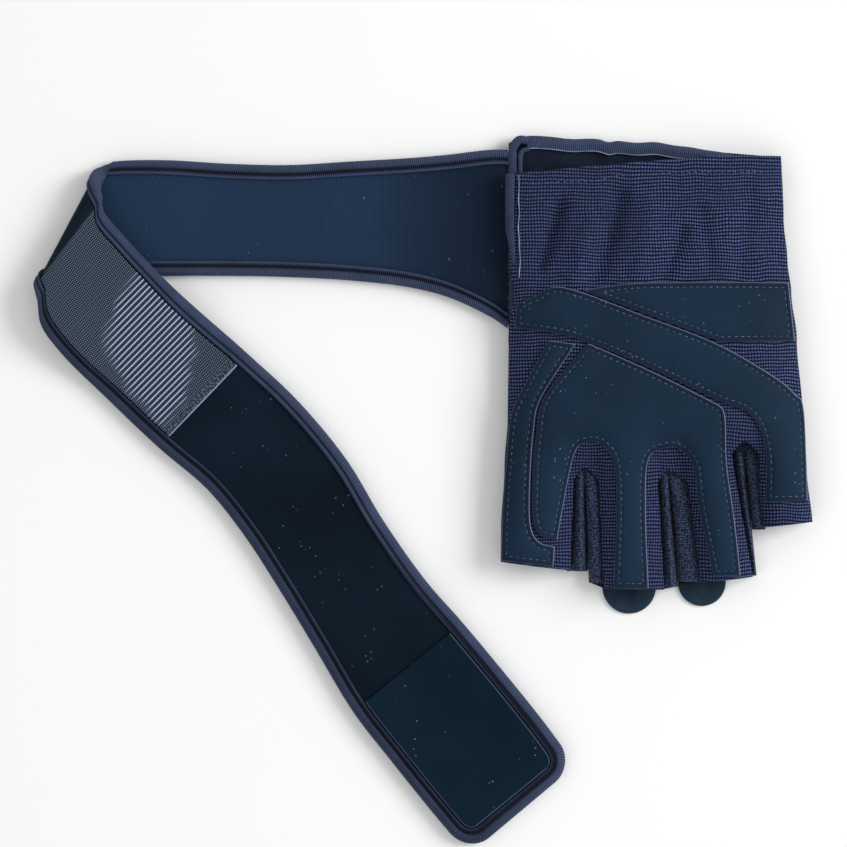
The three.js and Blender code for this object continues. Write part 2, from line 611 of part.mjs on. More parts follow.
// Rim of the strap at an inset: pairs of reach and half-width share, ending round the corners
function rimRows(inset) {
  const lastRow = (SECOND_LEG_ROWS.length - 2) / (SECOND_LEG_ROWS.length - 1);
  const perReach = secondTop.getPoint(lastRow).distanceTo(secondTop.getPoint(1)) / (1 - lastRow);
  const straightEnd = 3 - END_RADIUS / perReach;
  const starts = [0, 1, 2];
  const stops = [1, 2, straightEnd];
  const rows = LEG_STEPS.flatMap((steps, leg) => Array.from({ length: steps }, (_, i) => {
    const reach = lerp(starts[leg], stops[leg], i / steps);
    return [reach, 1 - inset / strapHalfWidth(reach)];
  }));
  const half = strapHalfWidth(3);
  for (let i = 0; i <= END_STEPS; i += 1) {
    const turn = Math.PI / 2 * i / END_STEPS;
    const radius = END_RADIUS - inset;
    const short = inset + radius * (1 - Math.sin(turn));
    const narrow = inset + radius * (1 - Math.cos(turn));
    rows.push([3 - short / perReach, 1 - narrow / half]);
  }
  return rows;
}

// Slab along the strap, with a line of corners below the inner edge of the binding
function strapSlab(rows, low, high) {
  const grid = (lift) => rows.map(([reach, half]) => {
    const inner = 0.99 * Math.min(half, 1 - STRAP_FLANGE / strapHalfWidth(reach));
    const sides = Array.from({ length: STRAP_ACROSS + 1 }, (_, j) => lerp(inner, -inner, j / STRAP_ACROSS));
    return [half, ...sides, -half].map((side) => strapAt(reach, side, lift));
  });
  return slab(grid(low), grid(high));
}

function strapBinding() {
  const profile = channel(STRAP_FLANGE, BINDING, STRAP_HALF);
  const rims = profile.map((corner) => rimRows(corner.x));
  const count = rims[0].length;
  const section = (row, sign) => profile.map((corner, j) => {
    const [reach, half] = rims[j][row];
    return strapAt(reach, sign * half, corner.y);
  });
  const sections = Array.from({ length: count }, (_, i) => section(i, 1));
  for (let i = count - 1; i >= 0; i -= 1) sections.push(section(i, -1));
  return bar(sections, profile);
}

const inStrap = (inset, from, to) => rimRows(inset).filter(([reach]) => reach >= from && reach <= to);
const rowReach = (row) => 2 + row / (SECOND_LEG_ROWS.length - 1);
const stripRow = (reach) => [reach, 1 - (STRAP_FLANGE + SEAT_GAP) / strapHalfWidth(reach)];
const stripTop = -STRAP_CORE / 2 - SEAT_GAP;

// Thin strip on the strap's outer face, inside its binding
function strip(rows) {
  return strapSlab(rows, stripTop, stripTop - STRAP_PATCH);
}

function webbingPatch() {
  const end = rowReach(WEBBING_END_ROW);
  return strip([...inStrap(STRAP_FLANGE + SEAT_GAP, WEBBING_START, end - CLOSE_ROWS), stripRow(end)]);
}

function hookPad() {
  const start = rowReach(HOOK_START_ROW);
  return strip([stripRow(start), ...inStrap(STRAP_FLANGE + SEAT_GAP, start + CLOSE_ROWS, 3)]);
}

const glove = new THREE.Group();
function add(name, geometry, colour, roughness) {
  const material = new THREE.MeshStandardMaterial({ color: colour, roughness, metalness: 0 });
  const mesh = new THREE.Mesh(geometry, material);
  mesh.name = name;
  glove.add(mesh);
}

add('palm_panel', palmLayer(-FABRIC, 0, palmOutline()), COLOURS.mesh, 0.9);
const back = panel(backBottom, backTop, BACK_COLUMNS, BACK_ROWS, backOutline());
add('back_panel', toGeometry(back), COLOURS.mesh, 0.9);
CROTCHES.forEach((crotch, i) => {
  add(`gusset_${crotch.name}`, gusset(crotch, FINGERS[i], FINGERS[i + 1]), COLOURS.knit, 0.95);
});
const leathers = {
  palm_pad: PALM_PAD, index_guard: INDEX_GUARD, diagonal_band: DIAGONAL_BAND, heel_patch: HEEL_PATCH,
};
Object.entries(leathers).forEach(([name, edges]) => {
  add(name, palmLayer(SEAT_GAP, SEAT_GAP + LEATHER, outline(edges, 2).reverse()), COLOURS.leather, 0.6);
});
add('cuff_binding', cuffBinding(), COLOURS.binding, 0.85);
add('slit_binding_palm', palmSlitBinding(), COLOURS.binding, 0.85);
add('slit_binding_back', backSlitBinding(), COLOURS.binding, 0.85);
PULL_TABS.forEach((tab, i) => add(`pull_tab_${tab.name}`, pullTab(tab, FINGERS[i + 1]), COLOURS.suede, 0.95));
const coreRows = inStrap(BINDING + EDGE_GAP, 0, 3);
add('strap_core', strapSlab(coreRows, STRAP_CORE / 2, -STRAP_CORE / 2), COLOURS.lining, 0.8);
add('strap_binding', strapBinding(), COLOURS.binding, 0.85);
add('webbing_patch', webbingPatch(), COLOURS.webbing, 0.7);
add('hook_pad', hookPad(), COLOURS.hook, 0.95);

// The origin is at the middle of the glove's box, on the surface that it lies on
const box = new THREE.Box3().setFromObject(glove);
const middle = box.getCenter(new THREE.Vector3());
glove.children.forEach((mesh) => mesh.geometry.translate(-middle.x, -middle.y, -box.min.z));

export default glove;
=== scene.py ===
"""Dresses a half-finger weightlifting glove: knit, leather, fleece, bindings, stitches and the wrist wrap."""
import math

import bpy
import numpy as np
from bpy.props import FloatProperty, FloatVectorProperty, IntProperty, PointerProperty
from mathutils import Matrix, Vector
from mathutils.geometry import delaunay_2d_cdt


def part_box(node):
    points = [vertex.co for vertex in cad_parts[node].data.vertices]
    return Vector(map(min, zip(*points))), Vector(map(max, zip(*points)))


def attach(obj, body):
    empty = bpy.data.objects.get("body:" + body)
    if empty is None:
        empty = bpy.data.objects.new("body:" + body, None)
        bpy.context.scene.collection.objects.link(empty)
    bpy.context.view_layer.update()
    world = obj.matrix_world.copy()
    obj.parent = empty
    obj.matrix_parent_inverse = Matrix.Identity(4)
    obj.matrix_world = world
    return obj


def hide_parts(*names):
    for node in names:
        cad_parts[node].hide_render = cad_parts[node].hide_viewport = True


bl_info = {
    "name": "Weightlifting glove",
    "version": (1, 0, 0),
    "blender": (4, 5, 0),
    "location": "3D View > Sidebar > Glove",
    "description": "Builds the cloth, leather and stitches of a half-finger glove and its wrist wrap",
    "category": "Add Mesh",
}

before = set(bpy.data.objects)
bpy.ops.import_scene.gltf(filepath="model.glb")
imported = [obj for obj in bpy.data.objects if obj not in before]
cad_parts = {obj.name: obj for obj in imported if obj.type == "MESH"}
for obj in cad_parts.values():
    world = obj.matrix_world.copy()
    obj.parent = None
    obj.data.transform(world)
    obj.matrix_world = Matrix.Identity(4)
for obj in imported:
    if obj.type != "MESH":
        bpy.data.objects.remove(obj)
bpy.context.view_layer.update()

MM = 0.001

# The photo looks straight down: its side in pixels, one pixel, and the plan's place in its middle
PHOTO_WIDTH = 847
PIXEL = 0.35 * MM
PHOTO_MIDDLE = (0.43 * MM, 23.2 * MM)

# Floor, light from all round, and lamps: name, place in metres and power in watts
FLOOR_HALF = 1.5
SKY_STRENGTH = 0.62
LIGHTS = (("key", (1.6, 0.4, 1.2), 29), ("fill", (-0.8, -0.5, 0.9), 2.0))

# Glove sizes, in metres
GLOVE_WIDTH = 109.2 * MM
GLOVE_LENGTH = 152.2 * MM
PALM_HEIGHT = 17 * MM
SIDE_HEIGHT = 7.6 * MM
SLIT_HEIGHT = 9.6 * MM
FINGER_CROWN = 12.6 * MM
FABRIC = 1.6 * MM
BACK_FABRIC = 1.4 * MM
GUSSET_FABRIC = 1.2 * MM
LEATHER = 1.2 * MM
SUEDE = 1.6 * MM
BINDING = 1.0 * MM
CROTCH_RADIUS = 2.6 * MM
GUSSET_TUCK = 1.2 * MM
SLIT_WIDTH = 1.0 * MM
SIDE_CURL = 13 * MM
CUFF_CURL = 14 * MM
CUFF_FLANGE = 4.5 * MM
BEAD_WIDTH = 2.8 * MM
BEAD_HEIGHT = 2.4 * MM
THUMB_HOLE_LENGTH = 30 * MM
THUMB_HOLE_DEPTH = 20 * MM
THUMB_HOLE_ALONG = 0.53
SEAT_GAP = 0.3 * MM
EDGE_GAP = 0.5 * MM
SMALLEST_CUT = 10 * MM
TAB_TUCK = 0.9 * MM
# The arc of a crotch ends this many of its radii below it
CROTCH_FOOT = 1.6
# Gussets: the crease's gap, the roll's height, the open crease's height, the wrinkles and the least height
CREASE_GAP = 0.08 * MM
GUSSET_RISE = 4.3 * MM
GUSSET_CREASE = 1.6 * MM
GUSSET_WRINKLE = 0.6 * MM
GUSSET_LEAST = 1.5 * MM
# Leather: how far its stitches pull it down and how far it puffs up inside them
LEATHER_PULL = 0.4 * MM
LEATHER_PUFF = 0.3 * MM
# Pale cut edge of the leather, with a painted highlight on the edges that face the key light: the way in the
# plan that faces the light most, its least share and how much more
HIGHLIGHT_WAY = (0.86, 0.51)
PALE_LEAST = 0.15
HIGHLIGHT_MORE = 0.75
# The cuff's binding lies this much further in at its far end
CUFF_SHIFT = 1.7 * MM

# Strap sizes, in metres; the strap swells to this many times its named width
STRAP_WIDTH = 41 * MM
FIRST_LEG = 138.6 * MM
SECOND_LEG = 252.6 * MM
SECOND_LEG_ANGLE = math.radians(51.2)
STRAP_CORE = 2.4 * MM
STRAP_FLANGE = 5.2 * MM
STRAP_PATCH = 1.0 * MM
ROLL_RADIUS = 3.4 * MM
END_RADIUS = 9.5 * MM
DROP_LENGTH = 38 * MM
DROP_DELAY = 35 * MM
STRAP_ROOT = (0.026, 0.145)
FOLD_MIDDLE = (1.106, -0.265)

# Layers count as no steeper than this, and each piece fills at least this share of its flat cut
STEEPEST = 1.4
LEAST_FILLED = 0.3
# Dense points for each given point of an outline's curve
CURVE_POINTS = 24
# Distances from a cut edge at which the knit and the leather have a ring of points
KNIT_INSETS = (0.2 * MM, 0.5 * MM, 1.0 * MM)
LEATHER_INSETS = [inset * MM for inset in (0.1, 0.25, 0.5, 0.85, 1.2, 1.5, 1.75, 2.0, 2.35, 2.9)]
# Distances between points: along the knit's outline and over the back, as shares of the cloth's step,
# then along the bindings and the raw edges
OUTLINE_STEP = 0.8
BACK_STEP = 1.3
LINE_STEP = 0.4 * MM
# Points moved in from an edge are kept if every edge is at least this share of that distance away
CLEAR_SHARE = 0.97
# Powers of the palm's and the stalls' arches
PALM_POWER = 4.5
FINGER_POWER = 2.5
SEAM_TOP = SIDE_HEIGHT - FABRIC * STEEPEST - SEAT_GAP
STRAP_HALF = STRAP_CORE / 2 + SEAT_GAP + BINDING
PATCH_BASE = -STRAP_CORE / 2 - SEAT_GAP
CUFF_LIFT = BINDING + EDGE_GAP
BACK_LEFT = STRAP_ROOT[0] + SEAT_GAP / GLOVE_WIDTH
THUMB_HOLE_TOP = THUMB_HOLE_ALONG - THUMB_HOLE_LENGTH / 2 / GLOVE_LENGTH
SLIT_FOOT = THUMB_HOLE_TOP - 2 * FABRIC / GLOVE_LENGTH
SLIT_START = 0.08
SLIT_STEEPNESS = 1.1

# Where the glove's plan starts: its tables of shares are across from the index side and along from the cuff
PALM_LOW, PALM_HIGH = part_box("palm_panel")
START_X = PALM_LOW[0]
START_Y = PALM_HIGH[1] + 0.002 * GLOVE_LENGTH

# The glove's two sides and its crown, down from the cuff
SIDES = {
    "along": (-0.05, 0.15, 0.24, 0.32, 0.42, 0.60, 0.72, 0.86, 1.05),
    "left": (0.029, 0.029, 0.031, 0.043, 0.028, 0.025, 0.015, 0.004, 0.000),
    "right": (0.900, 0.910, 0.922, 0.935, 0.952, 0.971, 0.984, 1.003, 1.005),
    "crown": (0.74, 0.76, 0.79, 0.85, 0.94, 1.00, 0.95, 0.85, 0.80),
    "slit": (1, 1, 1, 0.6, 0, 0, 0, 0, 0),
}

# Finger stalls: each side's place across at its crotch and at its mouth, and the mouth's place along
FINGERS = [
    {"crotch": (0.012, 0.237), "mouth": (0.000, 0.226), "end": (0.936, 0.956)},
    {"crotch": (0.314, 0.504), "mouth": (0.334, 0.527), "end": (0.998, 1.000)},
    {"crotch": (0.596, 0.750), "mouth": (0.646, 0.812), "end": (0.984, 0.970)},
    {"crotch": (0.830, 0.985), "mouth": (0.842, 1.003), "end": (0.857, 0.844)},
]

# Crotches between the stalls, and where the crease of the gusset below each one meets the mouths
CROTCHES = [
    {"name": "index_middle", "at": (0.272, 0.722), "crease": (0.285, 0.962), "ends": (0.958, 0.985)},
    {"name": "middle_ring", "at": (0.542, 0.726), "crease": (0.577, 0.990), "ends": (0.994, 0.982)},
    {"name": "ring_little", "at": (0.782, 0.660), "crease": (0.827, 0.966), "ends": (0.968, 0.862)},
]

# Soft dents in the cuff: place and reach as shares of the glove, depth as a share of the palm's height
CUFF_DENTS = [
    (0.17, 0.19, 0.045, 0.09, 0.10),
    (0.36, 0.17, 0.050, 0.10, 0.08),
    (0.58, 0.20, 0.050, 0.10, 0.07),
    (0.80, 0.15, 0.060, 0.09, 0.05),
]

# Sharper folds in the cuff's knit: both ends as shares, then the half width and depth in millimetres
FOLD_DEEPENING = 1.3
CUFF_FOLDS = [
    ((0.196, 0.120), (0.128, 0.255), 2.4, 2.6),
    ((0.385, 0.100), (0.305, 0.290), 3.4, 2.4),
    ((0.580, 0.180), (0.520, 0.290), 2.6, 1.7),
    ((0.640, 0.130), (0.670, 0.250), 2.6, 1.1),
    ((0.290, 0.150), (0.235, 0.290), 3.0, -1.1),
    ((0.480, 0.120), (0.440, 0.290), 3.6, -1.0),
    ((0.800, 0.080), (0.770, 0.270), 3.2, 0.9),
]

# Where the palm's arch turns into the stalls' arches, and where the back starts to rise to its side seam
STALLS_RISE = (0.60, 0.76)
SEAM_RISE = (0.42, 0.52)

PALM_CUFF_EDGE = [(0.029, 0.044), (0.321, 0.025), (0.558, 0.011), (0.708, 0.003), (0.900, 0.002)]
BACK_CUFF_EDGE = [(0.032, -0.030), (0.087, -0.038), (0.385, -0.026), (0.574, -0.016), (0.900, 0.003)]
PALM_SLIT_EDGE = [(0.058, 0.047), (0.060, 0.15), (0.062, 0.25), (0.064, 0.283)]
HEM_STITCH = [(0.070, 0.066), (0.311, 0.060), (0.356, 0.051), (0.612, 0.041), (0.888, 0.039)]

# Leather outlines: each list is one smooth edge, and edges meet at corners
LEATHERS = {
    "palm_pad": [
        [(0.280, 0.434), (0.490, 0.501), (0.690, 0.573)],
        [(0.690, 0.573), (0.715, 0.598), (0.724, 0.710), (0.750, 0.844), (0.768, 0.966)],
        [(0.768, 0.966), (0.682, 0.968)],
        [(0.682, 0.968), (0.638, 0.818), (0.618, 0.715), (0.572, 0.677), (0.529, 0.674),
         (0.474, 0.700), (0.465, 0.818), (0.474, 0.996)],
        [(0.474, 0.996), (0.362, 0.996)],
        [(0.362, 0.996), (0.371, 0.818), (0.364, 0.710), (0.325, 0.667), (0.280, 0.661),
         (0.238, 0.686), (0.199, 0.818), (0.183, 0.885)],
        [(0.183, 0.885), (0.131, 0.875), (0.105, 0.837), (0.104, 0.743), (0.116, 0.634),
         (0.143, 0.553), (0.280, 0.434)],
    ],
    "index_guard": [
        [(0.154, 0.427), (0.240, 0.436)],
        [(0.240, 0.436), (0.130, 0.560), (0.107, 0.634), (0.096, 0.743), (0.096, 0.845),
         (0.122, 0.888), (0.174, 0.900)],
        [(0.174, 0.900), (0.170, 0.946)],
        [(0.170, 0.946), (0.004, 0.932)],
        [(0.004, 0.932), (0.008, 0.818), (0.019, 0.710), (0.030, 0.620), (0.052, 0.566), (0.154, 0.427)],
    ],
    "diagonal_band": [
        [(0.052, 0.345), (0.115, 0.324), (0.205, 0.306), (0.462, 0.372), (0.686, 0.434),
         (0.865, 0.506), (0.942, 0.549), (0.974, 0.590), (0.984, 0.795)],
        [(0.984, 0.795), (0.850, 0.798)],
        [(0.850, 0.798), (0.846, 0.674), (0.798, 0.598), (0.686, 0.562), (0.462, 0.486),
         (0.266, 0.428), (0.160, 0.409), (0.048, 0.398)],
        [(0.048, 0.398), (0.052, 0.345)],
    ],
    "heel_patch": [
        [(0.262, 0.312), (0.417, 0.297), (0.612, 0.294), (0.924, 0.294)],
        [(0.924, 0.294), (0.944, 0.428)],
        [(0.944, 0.428), (0.702, 0.431)],
        [(0.702, 0.431), (0.486, 0.3725), (0.262, 0.312)],
    ],
}

PULL_TABS = [
    {"name": "middle", "across": 0.417, "along": 0.995, "radius": 9.4 * MM, "finger": 1},
    {"name": "ring", "across": 0.651, "along": 0.984, "radius": 8.4 * MM, "finger": 2},
]

# The strap's two edges: shares of each leg's length, and of the strap's width
FIRST_TOP = [(0.000, 0.59), (0.045, 0.59), (0.146, 0.55), (0.247, 0.52), (0.399, 0.49),
             (0.551, 0.46), (0.702, 0.47), (0.854, 0.50), (0.955, 0.50), (1.000, 0.49)]
FIRST_BOTTOM = [(0.000, -0.94), (0.045, -0.84), (0.146, -0.68), (0.247, -0.59), (0.399, -0.53),
                (0.563, -0.50), (0.740, -0.49), (0.929, -0.49), (1.068, -0.49), (1.131, -0.50)]
SECOND_TOP = [(-0.029, 0.50), (-0.012, 0.43), (0.032, 0.43), (0.130, 0.48), (0.268, 0.62),
              (0.360, 0.70), (0.467, 0.71), (0.564, 0.63), (0.666, 0.59), (0.745, 0.61),
              (0.835, 0.62), (0.922, 0.62), (0.998, 0.60)]
SECOND_BOTTOM = [(0.029, -0.50), (0.057, -0.60), (0.106, -0.62), (0.195, -0.56), (0.291, -0.48),
                 (0.378, -0.38), (0.459, -0.38), (0.541, -0.43), (0.640, -0.51), (0.746, -0.60),
                 (0.833, -0.61), (0.918, -0.61), (1.002, -0.60)]
LAST_ROW = len(SECOND_TOP) - 1
WEBBING_START = 1.82
WEBBING_END = 2 + 4 / LAST_ROW
HOOK_START = 2 + 9 / LAST_ROW

# The webbing's rows run square to this angle
WEAVE_ANGLE = math.radians(45)
# Where the webbing gets a painted highlight, as its threads shine in the light: along and across its rows, in
# shares of the strap's width
SHINE = [(0.50, 0.36), (0.63, -0.15), (0.66, -0.23), (0.83, -0.41), (1.02, -0.47), (1.25, -0.51),
         (1.49, -0.55), (1.63, -0.52), (1.65, -0.40), (1.59, -0.22), (1.51, -0.03), (1.39, 0.10),
         (1.28, 0.23), (1.16, 0.36)]
# Where the webbing starts, along the strap and how far this slants across it
WEBBING_SEAM = (-1.6 * MM, -0.123)


def smooth(value, low, high):
    """0 below low, 1 above high, and a smooth rise between."""
    share = np.clip((value - low) / (high - low), 0, 1)
    return share * share * (3 - 2 * share)


def blend(low, high, share):
    """The value that lies this share of the way from low to high."""
    return low + (high - low) * share


def follow(column, along):
    """A column of SIDES at places along the glove."""
    stations = np.array(SIDES["along"])
    values = np.array(SIDES[column], float)
    after = np.clip(np.searchsorted(stations, along, side="right"), 1, len(stations) - 1)
    share = smooth(along, stations[after - 1], stations[after])
    return blend(values[after - 1], values[after], share)


def to_plan(shares):
    """Points of the plan, in metres, from shares across and along the glove."""
    shares = np.asarray(shares, float)
    return np.column_stack([START_X + shares[:, 0] * GLOVE_WIDTH, START_Y - shares[:, 1] * GLOVE_LENGTH])


def to_shares(plan):
    """Shares across and along the glove from points of the plan."""
    return (plan[..., 0] - START_X) / GLOVE_WIDTH, (START_Y - plan[..., 1]) / GLOVE_LENGTH


def finger_side(finger, side, along):
    """Place across of a stall's side, 0 for the index side and 1 for the other, at places along the glove."""
    start = CROTCHES[0]["at"][1]
    share = np.clip((along - start) / (finger["end"][side] - start), -0.4, 1.2)
    return blend(finger["crotch"][side], finger["mouth"][side], share)


def cuff_folds(plan):
    """Depth of the cuff's folds at points of the plan."""
    depth = np.zeros(len(plan))
    for start, end, half_width, deepest in CUFF_FOLDS:
        a, b = to_plan([start, end])
        line = b - a
        share = np.clip((plan - a) @ line / (line @ line), 0, 1)
        off = np.linalg.norm(plan - a - share[:, None] * line, axis=1)
        depth += FOLD_DEEPENING * deepest * MM * np.exp(-((off / (half_width * MM)) ** 2))
    return depth


def palm_top(plan):
    """Height of the palm's upper face at points of the plan."""
    across, along = to_shares(plan)
    left = follow("left", along)
    right = follow("right", along)
    offset = np.clip((2 * across - left - right) / (right - left), -1, 1)
    slit_side = blend(SIDE_HEIGHT, SLIT_HEIGHT, follow("slit", along))
    side = np.where(offset < 0, slit_side, SIDE_HEIGHT)
    crown = PALM_HEIGHT * follow("crown", along)
    palm = side + (crown - side) * (1 - np.abs(offset) ** PALM_POWER)
    arches = np.zeros(len(plan))
    for finger in FINGERS:
        near = finger_side(finger, 0, along)
        far = finger_side(finger, 1, along)
        shape = 1 - np.minimum(1, np.abs((2 * across - near - far) / (far - near))) ** FINGER_POWER
        arches = np.maximum(arches, shape)
    fingers = SIDE_HEIGHT + (FINGER_CROWN - SIDE_HEIGHT) * arches
    dented = np.zeros(len(plan))
    for at_across, at_along, wide, long, depth in CUFF_DENTS:
        dented += depth * np.exp(-((across - at_across) / wide) ** 2 - ((along - at_along) / long) ** 2)
    return blend(palm, fingers, smooth(along, *STALLS_RISE)) - PALM_HEIGHT * dented


def back_bottom(plan):
    """Height of the back's underside: flat on the table, curled up to the side seams and the cuff."""
    across, along = to_shares(plan)
    seam_lift = SEAM_TOP - EDGE_GAP - BACK_FABRIC * STEEPEST
    right_curl = np.maximum(0, 1 - (follow("right", along) - across) * GLOVE_WIDTH / SIDE_CURL) ** 2
    left_curl = np.maximum(0, 1 - (across - follow("left", along)) * GLOVE_WIDTH / SIDE_CURL) ** 2
    left_curl = left_curl * smooth(along, *SEAM_RISE)
    edge = blend(BACK_CUFF_EDGE[1][1], BACK_CUFF_EDGE[4][1], across)
    inset = (along - edge) * GLOVE_LENGTH
    cuff = CUFF_LIFT * (1 - smooth(inset, CUFF_FLANGE + MM, CUFF_FLANGE + CUFF_CURL))
    return np.maximum(seam_lift * np.maximum(left_curl, right_curl), cuff)


def back_top(plan):
    """Height of the back's inner face at points of the plan."""
    return back_bottom(plan) + BACK_FABRIC * steepness(back_bottom, plan)


def steepness(height, plan):
    """How much thicker a sloping layer is, measured straight up."""
    step = 0.5 * MM
    sideways = np.array([step, 0])
    lengthways = np.array([0, step])
    dx = (height(plan + sideways) - height(plan - sideways)) / (2 * step)
    dy = (height(plan + lengthways) - height(plan - lengthways)) / (2 * step)
    return np.minimum(STEEPEST, np.sqrt(1 + dx * dx + dy * dy))


def soft_noise(points, size, seed):
    """Smooth random waves from -1 to 1 over points of any dimension, the same on each run."""
    points = np.asarray(points, float)
    draw = np.random.default_rng(seed)
    total = np.zeros(len(points))
    for _ in range(7):
        direction = draw.normal(size=points.shape[1])
        direction /= np.linalg.norm(direction)
        length = size * draw.uniform(0.7, 1.6)
        total += np.sin(points @ direction * 2 * math.pi / length + draw.uniform(0, 2 * math.pi))
    return total / 4


def bend(points, count, centripetal=False):
    """Dense points on the smooth curve through a list: Catmull-Rom, with even or centripetal knots."""
    points = np.asarray(points, float)
    if len(points) == 2:
        return blend(points[0], points[1], np.linspace(0, 1, count)[:, None])
    first = 2 * points[0] - points[1] if centripetal else points[0]
    last = 2 * points[-1] - points[-2] if centripetal else points[-1]
    padded = np.vstack([first, points, last])
    place = np.linspace(0, len(points) - 1, count)
    span = np.minimum(place.astype(int), len(points) - 2)
    t = (place - span)[:, None]
    p0, p1, p2, p3 = (padded[span + i] for i in range(4))
    if centripetal:
        pairs = ((p0, p1), (p1, p2), (p2, p3))
        k0, k1, k2 = (np.linalg.norm(b - a, axis=1, keepdims=True) ** 0.5 for a, b in pairs)
        start = ((p1 - p0) / k0 - (p2 - p0) / (k0 + k1) + (p2 - p1) / k1) * k1
        end = ((p2 - p1) / k1 - (p3 - p1) / (k1 + k2) + (p3 - p2) / k2) * k1
    else:
        start, end = (p2 - p0) / 2, (p3 - p1) / 2
    return (p1 * (2 * t ** 3 - 3 * t ** 2 + 1) + start * (t ** 3 - 2 * t ** 2 + t)
            + p2 * (3 * t ** 2 - 2 * t ** 3) + end * (t ** 3 - t ** 2))


def lengths(line):
    """How far along a line each of its points is."""
    return np.r_[0, np.cumsum(np.linalg.norm(np.diff(line, axis=0), axis=1))]


def spaced(line, spacing):
    """The line's points again, evenly spaced, with both ends kept."""
    steps = lengths(line)
    count = max(1, round(steps[-1] / spacing))
    at = np.linspace(0, steps[-1], count + 1)
    return np.column_stack([np.interp(at, steps, line[:, i]) for i in range(line.shape[1])])


def counter_clockwise(loop):
    """The loop, turned round if it runs clockwise."""
    following = np.roll(loop, -1, axis=0)
    area = np.sum(loop[:, 0] * following[:, 1] - loop[:, 1] * following[:, 0])
    return loop if area > 0 else loop[::-1]


def closed_outline(edges, spacing):
    """One closed loop of evenly spaced points in the plan, counter-clockwise, from smooth edges in shares."""
    dense = [bend(to_plan(edge), CURVE_POINTS * len(edge)) for edge in edges]
    return counter_clockwise(np.vstack([spaced(edge, spacing)[:-1] for edge in dense]))


def straight(corners):
    """Straight edges from each corner to the next."""
    return [[a, b] for a, b in zip(corners, corners[1:])]


def off_loop(points, loop):
    """How far each point of the plan is inside a closed loop; outside, the distance is negative."""
    nearest = np.full(len(points), np.inf)
    inside = np.zeros(len(points), bool)
    for start, way in zip(loop, np.roll(loop, -1, axis=0) - loop):
        to_point = points - start
        share = np.clip(to_point @ way / (way @ way), 0, 1)
        nearest = np.minimum(nearest, np.sum((to_point - share[:, None] * way) ** 2, axis=1))
        if way[1] == 0:
            continue
        low, high = sorted((start[1], start[1] + way[1]))
        crosses = (points[:, 1] >= low) & (points[:, 1] < high)
        inside ^= crosses & (to_point[:, 0] < way[0] * to_point[:, 1] / way[1])
    return np.where(inside, 1, -1) * np.sqrt(nearest)


def inwards(loop):
    """Unit directions into a counter-clockwise loop at its points."""
    way = np.roll(loop, -1, axis=0) - np.roll(loop, 1, axis=0)
    way /= np.linalg.norm(way, axis=1, keepdims=True)
    return np.column_stack([-way[:, 1], way[:, 0]])


def inner_rings(loop, insets):
    """Points of the loop moved inwards to each inset, without those that come too near another edge."""
    rings = []
    for inset in insets:
        moved = loop + inwards(loop) * inset
        rings.append(moved[off_loop(moved, loop) > CLEAR_SHARE * inset])
    return rings


def cut_cloth(loop, spacing, insets):
    """Triangles that fill a loop: plan points, distances from the edge, triangles and the rim's indexes."""
    low = loop.min(axis=0)
    high = loop.max(axis=0)
    rows = np.arange(low[1], high[1], spacing * math.sqrt(0.75))
    grid = np.array([(x, y) for i, y in enumerate(rows)
                     for x in np.arange(low[0] + (i % 2) * spacing / 2, high[0], spacing)])
    grid = grid[off_loop(grid, loop) > max(insets) + 0.55 * spacing]
    points = np.vstack([loop, *inner_rings(loop, insets), grid])
    rim = len(loop)
    edges = [(i, (i + 1) % rim) for i in range(rim)]
    scaled = [Vector(p) for p in points / MM]
    found, _, faces, origins, _, _ = delaunay_2d_cdt(scaled, edges, [], 1, 1e-5)
    plan = np.array([tuple(p) for p in found]) * MM
    faces = np.array([face for face in faces if len(face) == 3])
    a, b, c = (plan[faces[:, i]] for i in range(3))
    turned = np.cross(b - a, c - a) < 0
    faces[turned] = faces[turned][:, ::-1]
    where = {source: i for i, sources in enumerate(origins) for source in sources}
    rim_indexes = np.array([where[i] for i in range(rim)])
    return plan, np.maximum(0, off_loop(plan, loop)), faces, rim_indexes


def shell(plan, faces, rim, top, bottom):
    """Closed mesh between two heights over the same triangles."""
    count = len(plan)
    points = np.vstack([np.column_stack([plan, top]), np.column_stack([plan, bottom])])
    far = np.roll(rim, -1)
    walls = np.column_stack([far, rim, rim + count, far + count])
    return points, faces.tolist() + (faces[:, ::-1] + count).tolist() + walls.tolist()


def quads(a, b, c, d):
    return np.column_stack([a.ravel(), b.ravel(), c.ravel(), d.ravel()]).tolist()


def grid_mesh(upper, lower):
    """Closed slab between two grids of points, with the same rows and columns."""
    rows, columns = upper.shape[:2]
    index = np.arange(rows * columns).reshape(rows, columns)
    under = index + rows * columns
    faces = quads(index[:-1, :-1], index[1:, :-1], index[1:, 1:], index[:-1, 1:])
    faces += quads(under[:-1, :-1], under[:-1, 1:], under[1:, 1:], under[1:, :-1])
    faces += quads(index[:-1, 0], under[:-1, 0], under[1:, 0], index[1:, 0])
    faces += quads(index[:-1, -1], index[1:, -1], under[1:, -1], under[:-1, -1])
    faces += quads(index[0, :-1], index[0, 1:], under[0, 1:], under[0, :-1])
    faces += quads(index[-1, :-1], under[-1, :-1], under[-1, 1:], index[-1, 1:])
    return np.vstack([upper.reshape(-1, 3), lower.reshape(-1, 3)]), faces


def tube_mesh(sections):
    """Closed tube through a row of closed sections with the same number of points."""
    rows, size = sections.shape[:2]
    index = np.arange(rows * size).reshape(rows, size)
    turned = np.roll(index, -1, axis=1)
    faces = quads(index[:-1], turned[:-1], turned[1:], index[1:])
    faces += [index[0, ::-1].tolist(), index[-1].tolist()]
    return sections.reshape(-1, 3), faces


